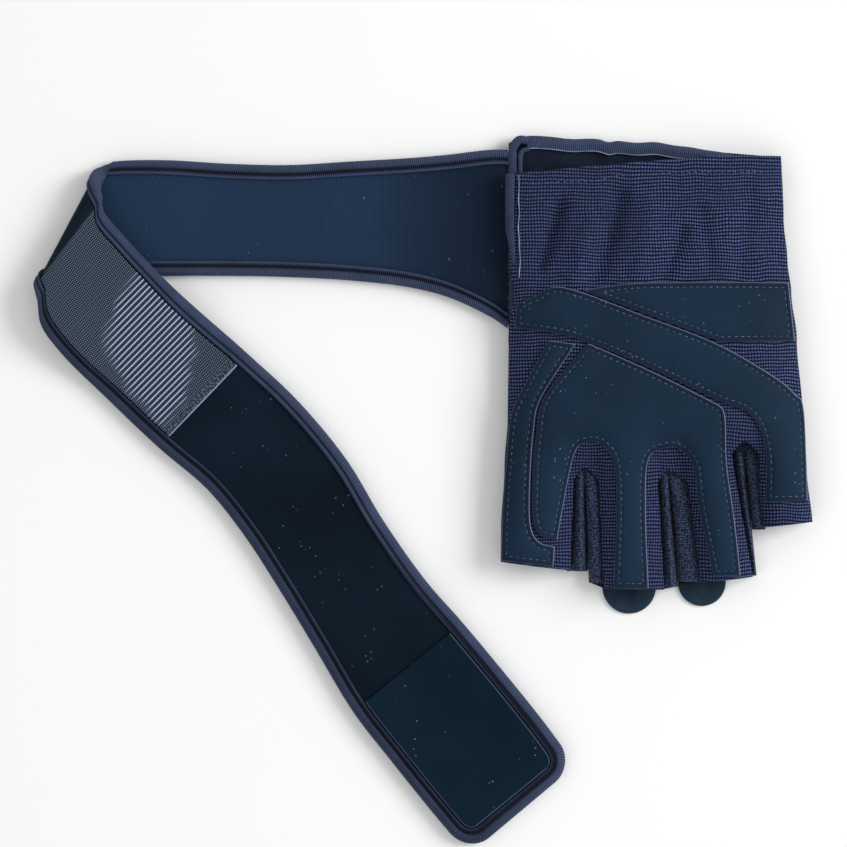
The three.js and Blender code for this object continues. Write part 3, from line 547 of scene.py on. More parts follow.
def add_mesh(name, points, faces, materials, nodes=(), slot=None, face_materials=None, values=None,
             cloth=None):
    """Adds a smooth-shaded object that rides on the glove and stands for the named nodes of the frame."""
    mesh = bpy.data.meshes.new(name)
    mesh.from_pydata(np.asarray(points).tolist(), [], faces)
    for material in materials:
        mesh.materials.append(material)
    if face_materials is not None:
        mesh.polygons.foreach_set("material_index", face_materials)
    mesh.polygons.foreach_set("use_smooth", [True] * len(mesh.polygons))
    for label, numbers in (values or {}).items():
        attribute = mesh.attributes.new(label, "FLOAT", "POINT")
        attribute.data.foreach_set("value", np.asarray(numbers, np.float32))
    if cloth is not None:
        corners = np.empty(len(mesh.loops), np.int32)
        mesh.loops.foreach_get("vertex_index", corners)
        layer = mesh.uv_layers.new(name="cloth")
        layer.data.foreach_set("uv", np.asarray(cloth, np.float32)[corners].ravel())
    mesh.update()
    thing = bpy.data.objects.new(name, mesh)
    bpy.context.scene.collection.objects.link(thing)
    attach(thing, "root")
    if nodes:
        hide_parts(*nodes)
    return thing


def stitched(name, places, ways, ups, sizes, material, slot):
    """One object of short thread loops: each lies at a place, along a way, its ends pulled into the cloth."""
    rings, sides = 5, 6
    radius = sizes.stitch_width / 2
    points = []
    faces = []
    around = np.linspace(0, 2 * math.pi, sides, endpoint=False)
    lengthways = np.linspace(-1, 1, rings)
    for place, way, up in zip(places, ways, ups):
        side = np.cross(up, way)
        start = len(points)
        for share in lengthways:
            bulge = radius * math.sqrt(max(0.06, 1 - share ** 4))
            middle = place + way * (share * sizes.stitch_length / 2)
            middle = middle + up * radius * (0.7 - 1.5 * share * share)
            for turn in around:
                points.append(middle + side * (bulge * math.cos(turn)) + up * (bulge * math.sin(turn)))
        for i in range(rings - 1):
            for j in range(sides):
                k = (j + 1) % sides
                a = start + i * sides
                faces.append([a + j, a + sides + j, a + sides + k, a + k])
        faces.append([start + j for j in range(sides)])
        faces.append([start + (rings - 1) * sides + j for j in reversed(range(sides))])
    return add_mesh(name, points, faces, [material], slot=slot)


def stitch_row(line, height, sizes, seed):
    """Places, ways and ups of a running stitch along a line in the plan, on a surface of the given height."""
    steps = lengths(line)
    count = int(steps[-1] / sizes.stitch_pitch)
    if count < 1:
        return np.zeros((0, 3)), np.zeros((0, 3)), np.zeros((0, 3))
    draw = np.random.default_rng(seed)
    at = (np.arange(count) + 0.5) * steps[-1] / count + draw.normal(0, 0.03, count) * sizes.stitch_pitch
    half = sizes.stitch_length / 2

    def on_line(distance):
        plan = np.column_stack([np.interp(distance, steps, line[:, i]) for i in range(2)])
        return np.column_stack([plan, height(plan)])

    places = on_line(at)
    ways = on_line(at + half) - on_line(at - half)
    ways /= np.linalg.norm(ways, axis=1, keepdims=True)
    tilt = draw.normal(0, 0.06, count)[:, None]
    ways = ways + np.cross(ways, (0, 0, 1)) * tilt
    ways /= np.linalg.norm(ways, axis=1, keepdims=True)
    ups = np.cross(np.cross(ways, (0, 0, 1)), ways)
    ups /= np.linalg.norm(ups, axis=1, keepdims=True)
    return places, ways, ups


def runs(line, longest):
    """Parts of a line that have no jump in them."""
    jumps = np.flatnonzero(np.linalg.norm(np.diff(line, axis=0), axis=1) > longest) + 1
    return [part for part in np.split(line, jumps) if len(part) > 2]


class Nodes:
    """Short ways to add and join the nodes of one tree."""

    def __init__(self, tree):
        self.tree = tree

    def add(self, kind, sockets=None, **settings):
        node = self.tree.nodes.new(kind)
        for key, value in settings.items():
            setattr(node, key, value)
        for key, value in (sockets or {}).items():
            self.feed(node.inputs[key], value)
        return node

    def feed(self, socket, value):
        if isinstance(value, bpy.types.NodeSocket):
            self.tree.links.new(value, socket)
        else:
            socket.default_value = value

    def math(self, operation, a, b=0.0):
        return self.add("ShaderNodeMath", {0: a, 1: b}, operation=operation).outputs[0]

    def times(self, a, b):
        return self.math("MULTIPLY", a, b)

    def plus(self, a, b):
        return self.math("ADD", a, b)

    def vector_math(self, operation, sockets):
        return self.add("ShaderNodeVectorMath", sockets, operation=operation).outputs[0]

    def mix(self, share, a, b):
        return self.add("ShaderNodeMix", {0: share, 6: a, 7: b}, data_type="RGBA").outputs[2]

    def rise(self, value, low, high, start=0.0, end=1.0):
        """Goes smoothly from start to end while the value goes from low to high."""
        sockets = {0: value, 1: low, 2: high, 3: start, 4: end}
        return self.add("ShaderNodeMapRange", sockets, interpolation_type="SMOOTHSTEP").outputs[0]

    def noise(self, where, scale, detail, roughness=0.5):
        sockets = {"Vector": where, "Scale": scale, "Detail": detail, "Roughness": roughness}
        return self.add("ShaderNodeTexNoise", sockets).outputs

    def parts(self, vector):
        return self.add("ShaderNodeSeparateXYZ", {0: vector}).outputs

    def attribute(self, name):
        return self.add("ShaderNodeAttribute", attribute_name=name).outputs["Fac"]

    def in_space(self):
        return self.add("ShaderNodeTexCoord").outputs["Object"]

    def on_cloth(self):
        return self.add("ShaderNodeUVMap", uv_map="cloth").outputs[0]

    def group(self, name, where, **sockets):
        """The outputs of a node group, which is made at its first use."""
        tree = bpy.data.node_groups.get(name) or GROUPS[name]()
        return self.add("ShaderNodeGroup", {"Vector": where, **sockets}, node_tree=tree).outputs

    def grain(self, where, fine, clouds):
        return self.group("Cloth grain", where, Grain=fine, Clouds=clouds)

    def linted(self, colour, where, spread, share, lint):
        """The colour with a share of lint where the specks are."""
        speck = self.group("Lint", where, Spread=spread)["Speck"]
        return self.mix(self.times(speck, share), colour, lint)


def new_group(name, numbers, outputs):
    """A node group with a vector and numbers as inputs: its nodes, and its own inputs and outputs."""
    tree = bpy.data.node_groups.new(name, "ShaderNodeTree")
    tree.interface.new_socket(name="Vector", in_out="INPUT", socket_type="NodeSocketVector")
    for label, default in numbers.items():
        socket = tree.interface.new_socket(name=label, in_out="INPUT", socket_type="NodeSocketFloat")
        socket.default_value = default
    for label in outputs:
        tree.interface.new_socket(name=label, in_out="OUTPUT", socket_type="NodeSocketFloat")
    nodes = Nodes(tree)
    return nodes, nodes.add("NodeGroupInput").outputs, nodes.add("NodeGroupOutput").inputs


def knit_group():
    """Rows and columns of small raised cells."""
    nodes, given, out = new_group(
        "Knit cells", {"Column": 1.0 * MM, "Row": 1.2 * MM, "Wander": 0.3 * MM}, ["Height", "Thread"])
    noise = nodes.noise(given["Vector"], 70.0, 1.0)["Color"]
    centred = nodes.vector_math("SUBTRACT", {0: noise, 1: (0.5, 0.5, 0.5)})
    wander = nodes.vector_math("SCALE", {0: centred, "Scale": given["Wander"]})
    parts = nodes.parts(nodes.vector_math("ADD", {0: given["Vector"], 1: wander}))

    def wave(value, pitch, power):
        turned = nodes.times(nodes.math("DIVIDE", value, pitch), math.pi)
        return nodes.math("POWER", nodes.math("ABSOLUTE", nodes.math("SINE", turned)), power)

    height = nodes.times(wave(parts["X"], given["Column"], 0.65), wave(parts["Y"], given["Row"], 1.15))
    nodes.feed(out["Height"], height)
    nodes.feed(out["Thread"], nodes.rise(height, 0.28, 0.92))
    return nodes.tree


def rib_group():
    """Even ribs along one direction, each a little uneven."""
    nodes, given, out = new_group("Cross ribs", {"Place": 0.0, "Pitch": 1.0 * MM, "Wander": 0.3}, ["Height"])
    noise = nodes.noise(given["Vector"], 300.0, 2.0)[0]
    shift = nodes.times(nodes.math("SUBTRACT", noise, 0.5), given["Wander"])
    turns = nodes.plus(nodes.math("DIVIDE", given["Place"], given["Pitch"]), shift)
    wave = nodes.math("SINE", nodes.times(turns, math.pi))
    nodes.feed(out["Height"], nodes.math("POWER", nodes.math("ABSOLUTE", wave), 0.8))
    return nodes.tree


def grain_group():
    """Fine grain, and slow clouds of lighter and darker cloth."""
    nodes, given, out = new_group("Cloth grain", {"Grain": 2500.0, "Clouds": 25.0}, ["Height", "Cloud"])
    slow = nodes.noise(given["Vector"], given["Clouds"], 3.0)[0]
    nodes.feed(out["Height"], nodes.noise(given["Vector"], given["Grain"], 3.0, 0.6)[0])
    nodes.feed(out["Cloud"], nodes.rise(slow, 0.3, 0.7))
    return nodes.tree


def lint_group():
    """A few pale specks of lint, gathered in loose patches."""
    nodes, given, out = new_group("Lint", {"Spread": 520.0}, ["Speck"])
    cells = nodes.add("ShaderNodeTexVoronoi", {"Vector": given["Vector"], "Scale": given["Spread"]}).outputs
    patches = nodes.noise(given["Vector"], 70.0, 2.0)[0]
    random = nodes.add("ShaderNodeSeparateColor", {0: cells["Color"]}).outputs[0]
    near = nodes.rise(cells["Distance"], 0.06, 0.18, 1.0, 0.0)
    chosen = nodes.math("GREATER_THAN", random, 0.72)
    nodes.feed(out["Speck"], nodes.times(nodes.times(near, chosen), nodes.rise(patches, 0.48, 0.58)))
    return nodes.tree


GROUPS = {"Knit cells": knit_group, "Cross ribs": rib_group, "Cloth grain": grain_group, "Lint": lint_group}


def shade(colour, factor=1.0):
    """A colour made lighter or darker, as a shader takes it."""
    return (*(channel * factor for channel in colour), 1.0)


# Each finish gives its colour, its height and how deep this height goes, from its own base colour
def knit_finish(nodes, base, colours, sizes):
    where = nodes.in_space()
    cells = nodes.group("Knit cells", where, Column=sizes.knit_column, Row=sizes.knit_row, Wander=2.6 * MM)
    grain = nodes.grain(where, 1400.0, 30.0)
    lit = nodes.times(cells["Thread"], nodes.rise(grain["Height"], 0.32, 0.62, 0.45))
    threads = nodes.mix(lit, shade(colours.knit_gap), shade(base))
    colour = nodes.mix(nodes.times(grain["Cloud"], 0.3), threads, shade(base, 0.14))
    return colour, nodes.plus(cells["Height"], nodes.times(grain["Height"], 0.15)), 0.35 * MM


def leather_finish(nodes, base, colours, sizes):
    where = nodes.in_space()
    grain = nodes.grain(where, 3500.0, 22.0)
    clouds = nodes.mix(grain["Cloud"], shade(base, 0.8), shade(colours.leather_blue))
    edge = nodes.attribute("edge")
    border = nodes.rise(edge, 1.0 * MM, 1.8 * MM, 0.45, 0.0)
    bordered = nodes.mix(border, clouds, shade(colours.leather_border))
    # The cut edge's pale line: its own colour all round, stronger as a painted highlight on edges facing the
    # key light
    cut = nodes.times(nodes.rise(edge, 0.05 * MM, 0.4 * MM, 1.0, 0.0), nodes.attribute("pale"))
    trimmed = nodes.mix(cut, bordered, shade(colours.raw_edge))
    return nodes.linted(trimmed, where, 560.0, 0.55, shade(colours.lint)), grain["Height"], 0.05 * MM


def fleece_finish(nodes, base, colours, sizes):
    where = nodes.on_cloth()
    cells = nodes.group("Knit cells", where, Column=0.55 * MM, Row=0.6 * MM, Wander=1.6 * MM)
    pile = nodes.plus(nodes.times(cells["Height"], 0.25), nodes.grain(where, 1300.0, 120.0)["Height"])
    return nodes.mix(nodes.rise(pile, 0.52, 0.78), shade(base, 0.25), shade(base, 3.6)), pile, 0.45 * MM


def binding_finish(nodes, base, colours, sizes):
    where = nodes.on_cloth()
    parts = nodes.parts(where)
    slanted = nodes.plus(parts["X"], nodes.times(parts["Y"], 0.12))
    ribs = nodes.group("Cross ribs", where, Place=slanted, Pitch=sizes.rib_pitch, Wander=0.35)
    grain = nodes.grain(where, 2500.0, 90.0)
    threads = nodes.mix(ribs["Height"], shade(base, 0.07), shade(base, 2.1))
    clouded = nodes.mix(nodes.times(grain["Cloud"], 0.35), threads, shade(base, 0.6))
    # Painted shade from the groove attribute: near black in the binding's grooves and where it curls over
    colour = nodes.mix(nodes.times(nodes.attribute("groove"), 0.9), clouded, shade(base, 0.06))
    return colour, nodes.plus(ribs["Height"], nodes.times(grain["Height"], 0.2)), 0.22 * MM


def napped_finish(nodes, base, colours, sizes):
    where = nodes.in_space()
    grain = nodes.grain(where, 1900.0, 130.0)
    nap = nodes.mix(grain["Height"], shade(base, 0.4), shade(base, 1.5))
    # Darker clouds: on the inner face they are painted shade in its dimples, on the suede its own mottling
    shade_and_mottling = nodes.mix(nodes.times(grain["Cloud"], 0.6), nap, shade(base, 0.35))
    return nodes.linted(shade_and_mottling, where, 900.0, 0.3, shade(colours.lint, 0.8)), grain["Height"], 0.15 * MM


def lining_finish(nodes, base, colours, sizes):
    where = nodes.on_cloth()
    along = nodes.parts(where)["X"]
    ribs = nodes.group("Cross ribs", where, Place=along, Pitch=sizes.lining_pitch, Wander=0.25)
    grain = nodes.grain(where, 3000.0, 20.0)
    ribbed = nodes.mix(ribs["Height"], shade(base, 0.72), shade(base, 1.12))
    clouded = nodes.mix(nodes.times(grain["Cloud"], 0.35), ribbed, shade(base, 0.65))
    # Painted shadow: the lining darkens towards the cuff, where the strap lies in shade
    cuff_shadow = nodes.rise(along, 6 * MM, 62 * MM, 0.85, 0.0)
    shaded = nodes.mix(cuff_shadow, clouded, shade(base, 0.3))
    colour = nodes.linted(shaded, where, 330.0, 0.3, shade(colours.lint, 0.8))
    return colour, nodes.plus(ribs["Height"], nodes.times(grain["Height"], 0.4)), 0.08 * MM


def strap_finish(nodes, base, colours, sizes):
    where = nodes.on_cloth()
    grain = nodes.grain(where, 3500.0, 22.0)
    clouds = nodes.mix(grain["Cloud"], shade(base, 0.7), shade(base, 1.35))
    return nodes.linted(clouds, where, 520.0, 0.4, shade(colours.lint, 0.9)), grain["Height"], 0.04 * MM


def hook_finish(nodes, base, colours, sizes):
    where = nodes.on_cloth()
    cells = nodes.group("Knit cells", where, Column=0.7 * MM, Row=0.7 * MM, Wander=0.8 * MM)
    hooks = nodes.mix(cells["Height"], shade(base, 0.75), shade(base, 1.15))
    cloud = nodes.times(nodes.grain(where, 2500.0, 24.0)["Cloud"], 0.5)
    clouds = nodes.mix(cloud, hooks, shade(base, 1.6))
    specked = nodes.linted(clouds, where, 420.0, 0.35, shade(colours.lint))
    edge = nodes.attribute("edge")
    inner_side = nodes.rise(edge, 0.45 * MM, 0.65 * MM, 0.8, 0.0)
    seam = nodes.times(nodes.rise(edge, 0.1 * MM, 0.3 * MM), inner_side)
    return nodes.mix(seam, specked, shade(colours.thread, 0.8)), cells["Height"], 0.08 * MM


def webbing_finish(nodes, base, colours, sizes):
    where = nodes.on_cloth()
    parts = nodes.parts(where)
    row = sizes.webbing_pitch / 2
    odd = nodes.math("MODULO", nodes.math("FLOOR", nodes.math("DIVIDE", parts["X"], row)), 2.0)
    staggered = nodes.plus(parts["Y"], nodes.times(odd, sizes.webbing_dot / 2))
    dots = nodes.add("ShaderNodeCombineXYZ", {0: parts["X"], 1: staggered}).outputs[0]
    cells = nodes.group("Knit cells", dots, Column=row, Row=sizes.webbing_dot, Wander=0.1 * MM)
    middle = nodes.plus(parts["X"], row / 2)
    ribs = nodes.group("Cross ribs", where, Place=middle, Pitch=sizes.webbing_pitch, Wander=0.06)
    dull = nodes.mix(cells["Thread"], shade(base, 0.10), shade(base, 3.0))
    # Painted highlight: where the shine attribute is set, the raised floats of the weave take a bright colour
    beads = nodes.rise(cells["Height"], 0.0, 0.5, 0.4, 1.15)
    floats = nodes.times(nodes.rise(ribs["Height"], 0.80, 0.98), beads)
    bright = nodes.mix(floats, shade(base, 0.45), shade(colours.webbing_shine))
    woven = nodes.mix(nodes.attribute("shine"), dull, bright)
    speckle = nodes.rise(nodes.noise(where, 1500.0, 1.0)[0], 0.45, 0.6)
    end = nodes.attribute("end")
    sewn_share = nodes.rise(end, 2.6 * MM, 3.6 * MM, 0.85, 0.0)
    sewn = nodes.mix(sewn_share, woven, nodes.mix(speckle, shade(base, 0.2), shade(base, 2.6)))
    last_thread = nodes.rise(end, 0.3 * MM, 0.55 * MM, 0.9, 0.0)
    seamed = nodes.mix(last_thread, sewn, shade(colours.webbing_shine, 0.75))
    plain = nodes.attribute("plain")
    shader = nodes.tree.nodes["Principled BSDF"]
    nodes.feed(shader.inputs["Roughness"], nodes.rise(plain, 0.0, 1.0, 0.5, 0.85))
    relief = nodes.plus(cells["Height"], nodes.times(floats, 0.8))
    height = nodes.times(relief, nodes.math("SUBTRACT", 1.0, plain))
    return nodes.mix(plain, seamed, shade(colours.strap, 1.2)), height, 0.22 * MM


def thread_finish(nodes, base, colours, sizes):
    grain = nodes.grain(nodes.in_space(), 5000.0, 200.0)
    return nodes.mix(grain["Cloud"], shade(base, 0.6), shade(base, 1.3)), grain["Height"], 0.05 * MM


# Each material's finish and the name of its colour, then the values of SHINE_SOCKETS
MATERIALS = {
    "waffle knit": (knit_finish, "knit", 0.85, 0.08, 0.03, 0.4),
    "microfibre leather": (leather_finish, "leather", 0.7, 0.07, 0.02, 0.5),
    "fleece knit": (fleece_finish, "fleece", 0.95, 0.04, 0.05, 0.6),
    "ribbed binding": (binding_finish, "binding", 0.8, 0.12, 0.05, 0.4),
    "suede": (napped_finish, "suede", 0.95, 0.04, 0.05, 0.6),
    "brushed inner face": (napped_finish, "inner", 0.95, 0.04, 0.05, 0.6),
    "ribbed lining": (lining_finish, "lining", 0.8, 0.07, 0.03, 0.4),
    "smooth strap face": (strap_finish, "strap", 0.7, 0.07, 0.02, 0.4),
    "hook strip": (hook_finish, "hook", 0.85, 0.05, 0.02, 0.4),
    "woven webbing": (webbing_finish, "webbing", 0.5, 0.15, 0.0, 0.4),
    "stitching thread": (thread_finish, "thread", 0.6, 0.15, 0.05, 0.4),
    "raw edge": (thread_finish, "edge_thread", 0.6, 0.15, 0.05, 0.4),
}
SHINE_SOCKETS = ("Roughness", "Specular IOR Level", "Sheen Weight", "Sheen Roughness")


def new_material(name, shine):
    """A material with its shine set: the material, its nodes and its shader."""
    material = bpy.data.materials.new(name)
    material.use_nodes = True
    shader = material.node_tree.nodes["Principled BSDF"]
    for socket, value in zip(SHINE_SOCKETS, shine):
        shader.inputs[socket].default_value = value
    return material, Nodes(material.node_tree), shader


def the_material(name, context):
    """A material from the table, made at its first use."""
    if name in bpy.data.materials:
        return bpy.data.materials[name]
    finish, base, *shine = MATERIALS[name]
    material, nodes, shader = new_material(name, shine)
    colours = context.scene.glove_colours
    colour, height, depth = finish(nodes, getattr(colours, base), colours, context.scene.glove_sizes)
    nodes.feed(shader.inputs["Base Color"], colour)
    bump = nodes.add("ShaderNodeBump", {"Height": height, "Strength": 1.0, "Distance": depth})
    nodes.feed(shader.inputs["Normal"], bump.outputs[0])
    return material


def side_line(column, start, end):
    """One of the glove's two sides as an edge, between two places along it."""
    along = np.linspace(start, end, 40)
    return list(zip(follow(column, along), along))


def mouth(finger, side):
    """The place where a stall's side meets its mouth."""
    return FINGERS[finger]["mouth"][side], FINGERS[finger]["end"][side]


def crotch_line(crotch, left, right):
    """The arc of a crotch as an edge, from the stall on its far side to the one on its index side."""
    drop = CROTCH_RADIUS / GLOVE_LENGTH
    wide = CROTCH_RADIUS / GLOVE_WIDTH
    across, along = crotch["at"]
    foot = along + CROTCH_FOOT * drop
    return [(finger_side(right, 0, foot), foot), (across + 0.7 * wide, along + 0.3 * drop), (across, along),
            (across - 0.7 * wide, along + 0.3 * drop), (finger_side(left, 1, foot), foot)]


def palm_edges():
    """Edges of the palm's knit: cuff, far side, the four mouths with the cuts between them, near side."""
    edges = [PALM_CUFF_EDGE, side_line("right", PALM_CUFF_EDGE[-1][1], mouth(3, 1)[1])]
    for i in (3, 2, 1, 0):
        edges.append([mouth(i, 1), mouth(i, 0)])
        if i:
            turn = crotch_line(CROTCHES[i - 1], FINGERS[i - 1], FINGERS[i])
            edges += [[mouth(i, 0), turn[0]], turn, [turn[-1], mouth(i - 1, 1)]]
    edges.append(side_line("left", mouth(0, 0)[1], PALM_CUFF_EDGE[0][1]))
    return edges


def crease_at(crotch, along):
    """Place across of the crease of the gusset below a crotch."""
    share = (along - crotch["at"][1]) / (crotch["crease"][1] - crotch["at"][1])
    return blend(crotch["at"][0], crotch["crease"][0], share)


def back_edges():
    """Edges of the back's knit, with slits along the creases and a notch at the index side for the thumb."""
    half = SLIT_WIDTH / 2 / GLOVE_WIDTH
    edges = [BACK_CUFF_EDGE, side_line("right", BACK_CUFF_EDGE[-1][1], mouth(3, 1)[1])]
    edges.append([mouth(3, 1), mouth(3, 0)])
    for i in (2, 1, 0):
        crotch = CROTCHES[i]
        top = crotch["at"][1] + SLIT_START
        left_end, right_end = crotch["ends"]
        slit = [(crease_at(crotch, along) + sign * half, along)
                for along, sign in ((right_end, 1), (top, 1), (top, -1), (left_end, -1))]
        edges += straight([mouth(i + 1, 0), *slit, mouth(i, 1), mouth(i, 0)])
    hole_radius = THUMB_HOLE_ALONG - THUMB_HOLE_TOP
    turn = np.linspace(math.pi / 2, -math.pi / 2, 40)
    along = THUMB_HOLE_ALONG + hole_radius * np.sin(turn)
    across = follow("left", along) + THUMB_HOLE_DEPTH / GLOVE_WIDTH * np.cos(turn)
    edges.append(side_line("left", mouth(0, 0)[1], THUMB_HOLE_ALONG + hole_radius))
    edges.append(list(zip(across, along)))
    cuff_corner = (BACK_LEFT, BACK_CUFF_EDGE[0][1])
    return edges + straight([(across[-1], along[-1]), (BACK_LEFT, SLIT_FOOT), cuff_corner, BACK_CUFF_EDGE[0]])


def round_edge(inset, radius):
    """0 at a rounded edge, 1 from the radius inwards."""
    return np.sqrt(np.clip(1 - (1 - np.clip(inset / radius, 0, 1)) ** 2, 0, 1))


def knit_relief(plan):
    """Small heights of the palm's knit: the cuff's folds, its hem and soft puckers."""
    _, along = to_shares(plan)
    in_cuff = 1 - smooth(along, 0.27, 0.33)
    line = bend(to_plan(HEM_STITCH), 60)
    below = line[np.abs(plan[:, None, 0] - line[None, :, 0]).argmin(axis=1), 1] - plan[:, 1]
    seam = 0.35 * MM * np.exp(-((below / (0.7 * MM)) ** 2))
    puff = 0.25 * MM * np.exp(-(((below + 1.8 * MM) / (1.2 * MM)) ** 2))
    puckers = 0.12 * MM * soft_noise(plan, 7 * MM, 3)
    return puff - (cuff_folds(plan) + seam) * in_cuff + puckers * (0.4 + 0.6 * in_cuff)


def face_area(points, faces):
    """Area of all the triangles together."""
    a, b, c = (points[faces[:, i]] for i in range(3))
    return float(np.linalg.norm(np.cross(b - a, c - a), axis=1).sum() / 2)


def add_cloth(name, cut, top, bottom, materials, node, slot, held, rests_on, **more):
    """Adds a cut of cloth or leather between two heights.

    It works out a flat cut as long as its plan and wider by what it puffs up, but makes no use of it.
    """
    plan, _, faces, rim = cut
    points, all_faces = shell(plan, faces, rim, top, bottom)
    thing = add_mesh(name, points, all_faces, materials, [node], slot, **more)
    upper = points[:len(plan)]
    width, length = np.maximum(np.ptp(plan, axis=0), SMALLEST_CUT)
    area = face_area(upper, faces)
    width *= area / face_area(upper * (1, 1, 0), faces)
    area = min(max(area, LEAST_FILLED * width * length), width * length)


def length_property(name, description, value, low=0.1 * MM):
    return FloatProperty(name=name, description=description, default=value, min=low, unit="LENGTH")


class GloveSizes(bpy.types.PropertyGroup):
    """Sizes that change the look of the cloth"""
    cloth_step: length_property("Cloth step", "Distance between points of knit", 1.0 * MM, 0.4 * MM)
    leather_step: length_property("Leather step", "Distance between points of leather", 1.1 * MM, 0.4 * MM)
    knit_column: length_property("Knit column", "Distance from one column of the knit to the next", 0.98 * MM)
    knit_row: length_property("Knit row", "Distance from one row of the knit to the next", 1.22 * MM)
    rib_pitch: length_property("Binding rib", "Distance between the binding's ribs", 0.70 * MM)
    lining_pitch: length_property("Lining rib", "Distance between the lining's ribs", 0.92 * MM)
    webbing_pitch: length_property("Webbing rib", "Distance between the webbing's ribs", 1.64 * MM)
    webbing_dot: length_property("Webbing dot", "Distance between the dots of the webbing", 0.7 * MM)
    stitch_pitch: length_property("Stitch pitch", "Distance from one stitch to the next", 2.3 * MM)
    stitch_length: length_property("Stitch length", "Length of thread that shows in a stitch", 1.5 * MM)
    stitch_width: length_property("Thread", "Width of the thread", 0.38 * MM)
    stitch_inset: length_property("Stitch inset", "Distance of the stitches from a leather edge", 1.75 * MM)
    binding_sides: IntProperty(
        name="Binding sides", description="Points around the binding's profile", default=30, min=12)


def colour_property(name, description, value):
    return FloatVectorProperty(
        name=name, description=description, default=value, subtype="COLOR", min=0, max=1)


class GloveColours(bpy.types.PropertyGroup):
    """Colours of the glove's finishes"""
    knit: colour_property("Knit", "Threads of the palm's, back's and cuff's knit", (0.102, 0.140, 0.325))
    knit_gap: colour_property("Knit gap", "Between the threads of the knit", (0.0030, 0.0052, 0.0165))
    leather: colour_property("Leather", "Palm pad, guard, band and heel patch", (0.0080, 0.0235, 0.0435))
    leather_blue: colour_property("Bluer leather", "Leather in its bluer clouds", (0.0092, 0.0255, 0.054))
    leather_border: colour_property("Leather border", "Leather outside its stitches", (0.0045, 0.011, 0.027))
    fleece: colour_property("Fleece", "Gussets between the stalls", (0.023, 0.032, 0.062))
    binding: colour_property("Binding", "Ribbed bindings", (0.030, 0.042, 0.084))
    # Dark navy of the brushed inner face, darkened further as painted shade inside the glove
    inner: colour_property("Inner face", "Brushed inner face of the back", (0.012, 0.020, 0.038))
    suede: colour_property("Suede", "Pull tabs", (0.017, 0.036, 0.058))
    lining: colour_property("Lining", "Inner face of the strap", (0.0146, 0.034, 0.074))
    strap: colour_property("Strap face", "Outer face of the strap", (0.0020, 0.0078, 0.0158))
    hook: colour_property("Hook strip", "Fastener at the strap's end", (0.0033, 0.0115, 0.0215))
    webbing: colour_property("Webbing", "Woven patch on the strap", (0.041, 0.060, 0.089))
    # Painted highlight of the webbing's threads where they catch the light; darker, also the pale thread at
    # its sewn end
    webbing_shine: colour_property("Webbing shine", "Webbing where its threads shine", (0.46, 0.58, 0.84))
    thread: colour_property("Thread", "Stitches", (0.075, 0.105, 0.16))
    # Pale cut edge of the leather; on edges facing the key light it also stands for a painted highlight
    raw_edge: colour_property("Raw edge", "Cut edge of the leather", (0.25, 0.27, 0.42))
    edge_thread: colour_property("Edge thread", "Pale cut edges at the wrist", (0.22, 0.25, 0.38))
    lint: colour_property("Lint", "Specks of lint", (0.30, 0.36, 0.45))


class GLOVE_OT_knit(bpy.types.Operator):
    """Build the knit palm and back"""
    bl_idname = "glove.knit"
    bl_label = "Knit palm and back"

    def execute(self, context):
        sizes = context.scene.glove_sizes
        material = the_material("waffle knit", context)
        outline_step = OUTLINE_STEP * sizes.cloth_step
        cut = cut_cloth(closed_outline(palm_edges(), outline_step), sizes.cloth_step, KNIT_INSETS)
        plan, inset, faces, rim = cut
        top = palm_top(plan) + knit_relief(plan)
        thick = FABRIC * steepness(palm_top, plan)
        drop = (1 - round_edge(inset, 0.9 * MM)) * 0.45 * thick
        add_cloth("knit_palm", cut, top - drop, top - thick + drop, [material], "palm_panel", "mesh_knit",
                  "laid", ["knit_back"])

        loop = closed_outline(back_edges(), outline_step)
        cut = cut_cloth(loop, BACK_STEP * sizes.cloth_step, KNIT_INSETS)
        plan, inset, faces, rim = cut
        bottom = back_bottom(plan)
        thick = BACK_FABRIC * steepness(back_bottom, plan)
        drop = (1 - round_edge(inset, 0.8 * MM)) * 0.45 * thick
        wave = 0.6 * MM * soft_noise(plan, 9 * MM, 5) * smooth(inset, 3 * MM, 9 * MM)
        # The inside faces take the brushed inner face, whose dark colour partly stands for painted shade
        # inside the glove
        inner = the_material("brushed inner face", context)
        add_cloth("knit_back", cut, bottom + thick - drop + np.maximum(0, wave), bottom + drop,
                  [material, inner], "back_panel", "mesh_knit", "laid", ["floor"],
                  face_materials=[1] * len(faces) + [0] * (len(faces) + len(rim)))
        return {"FINISHED"}


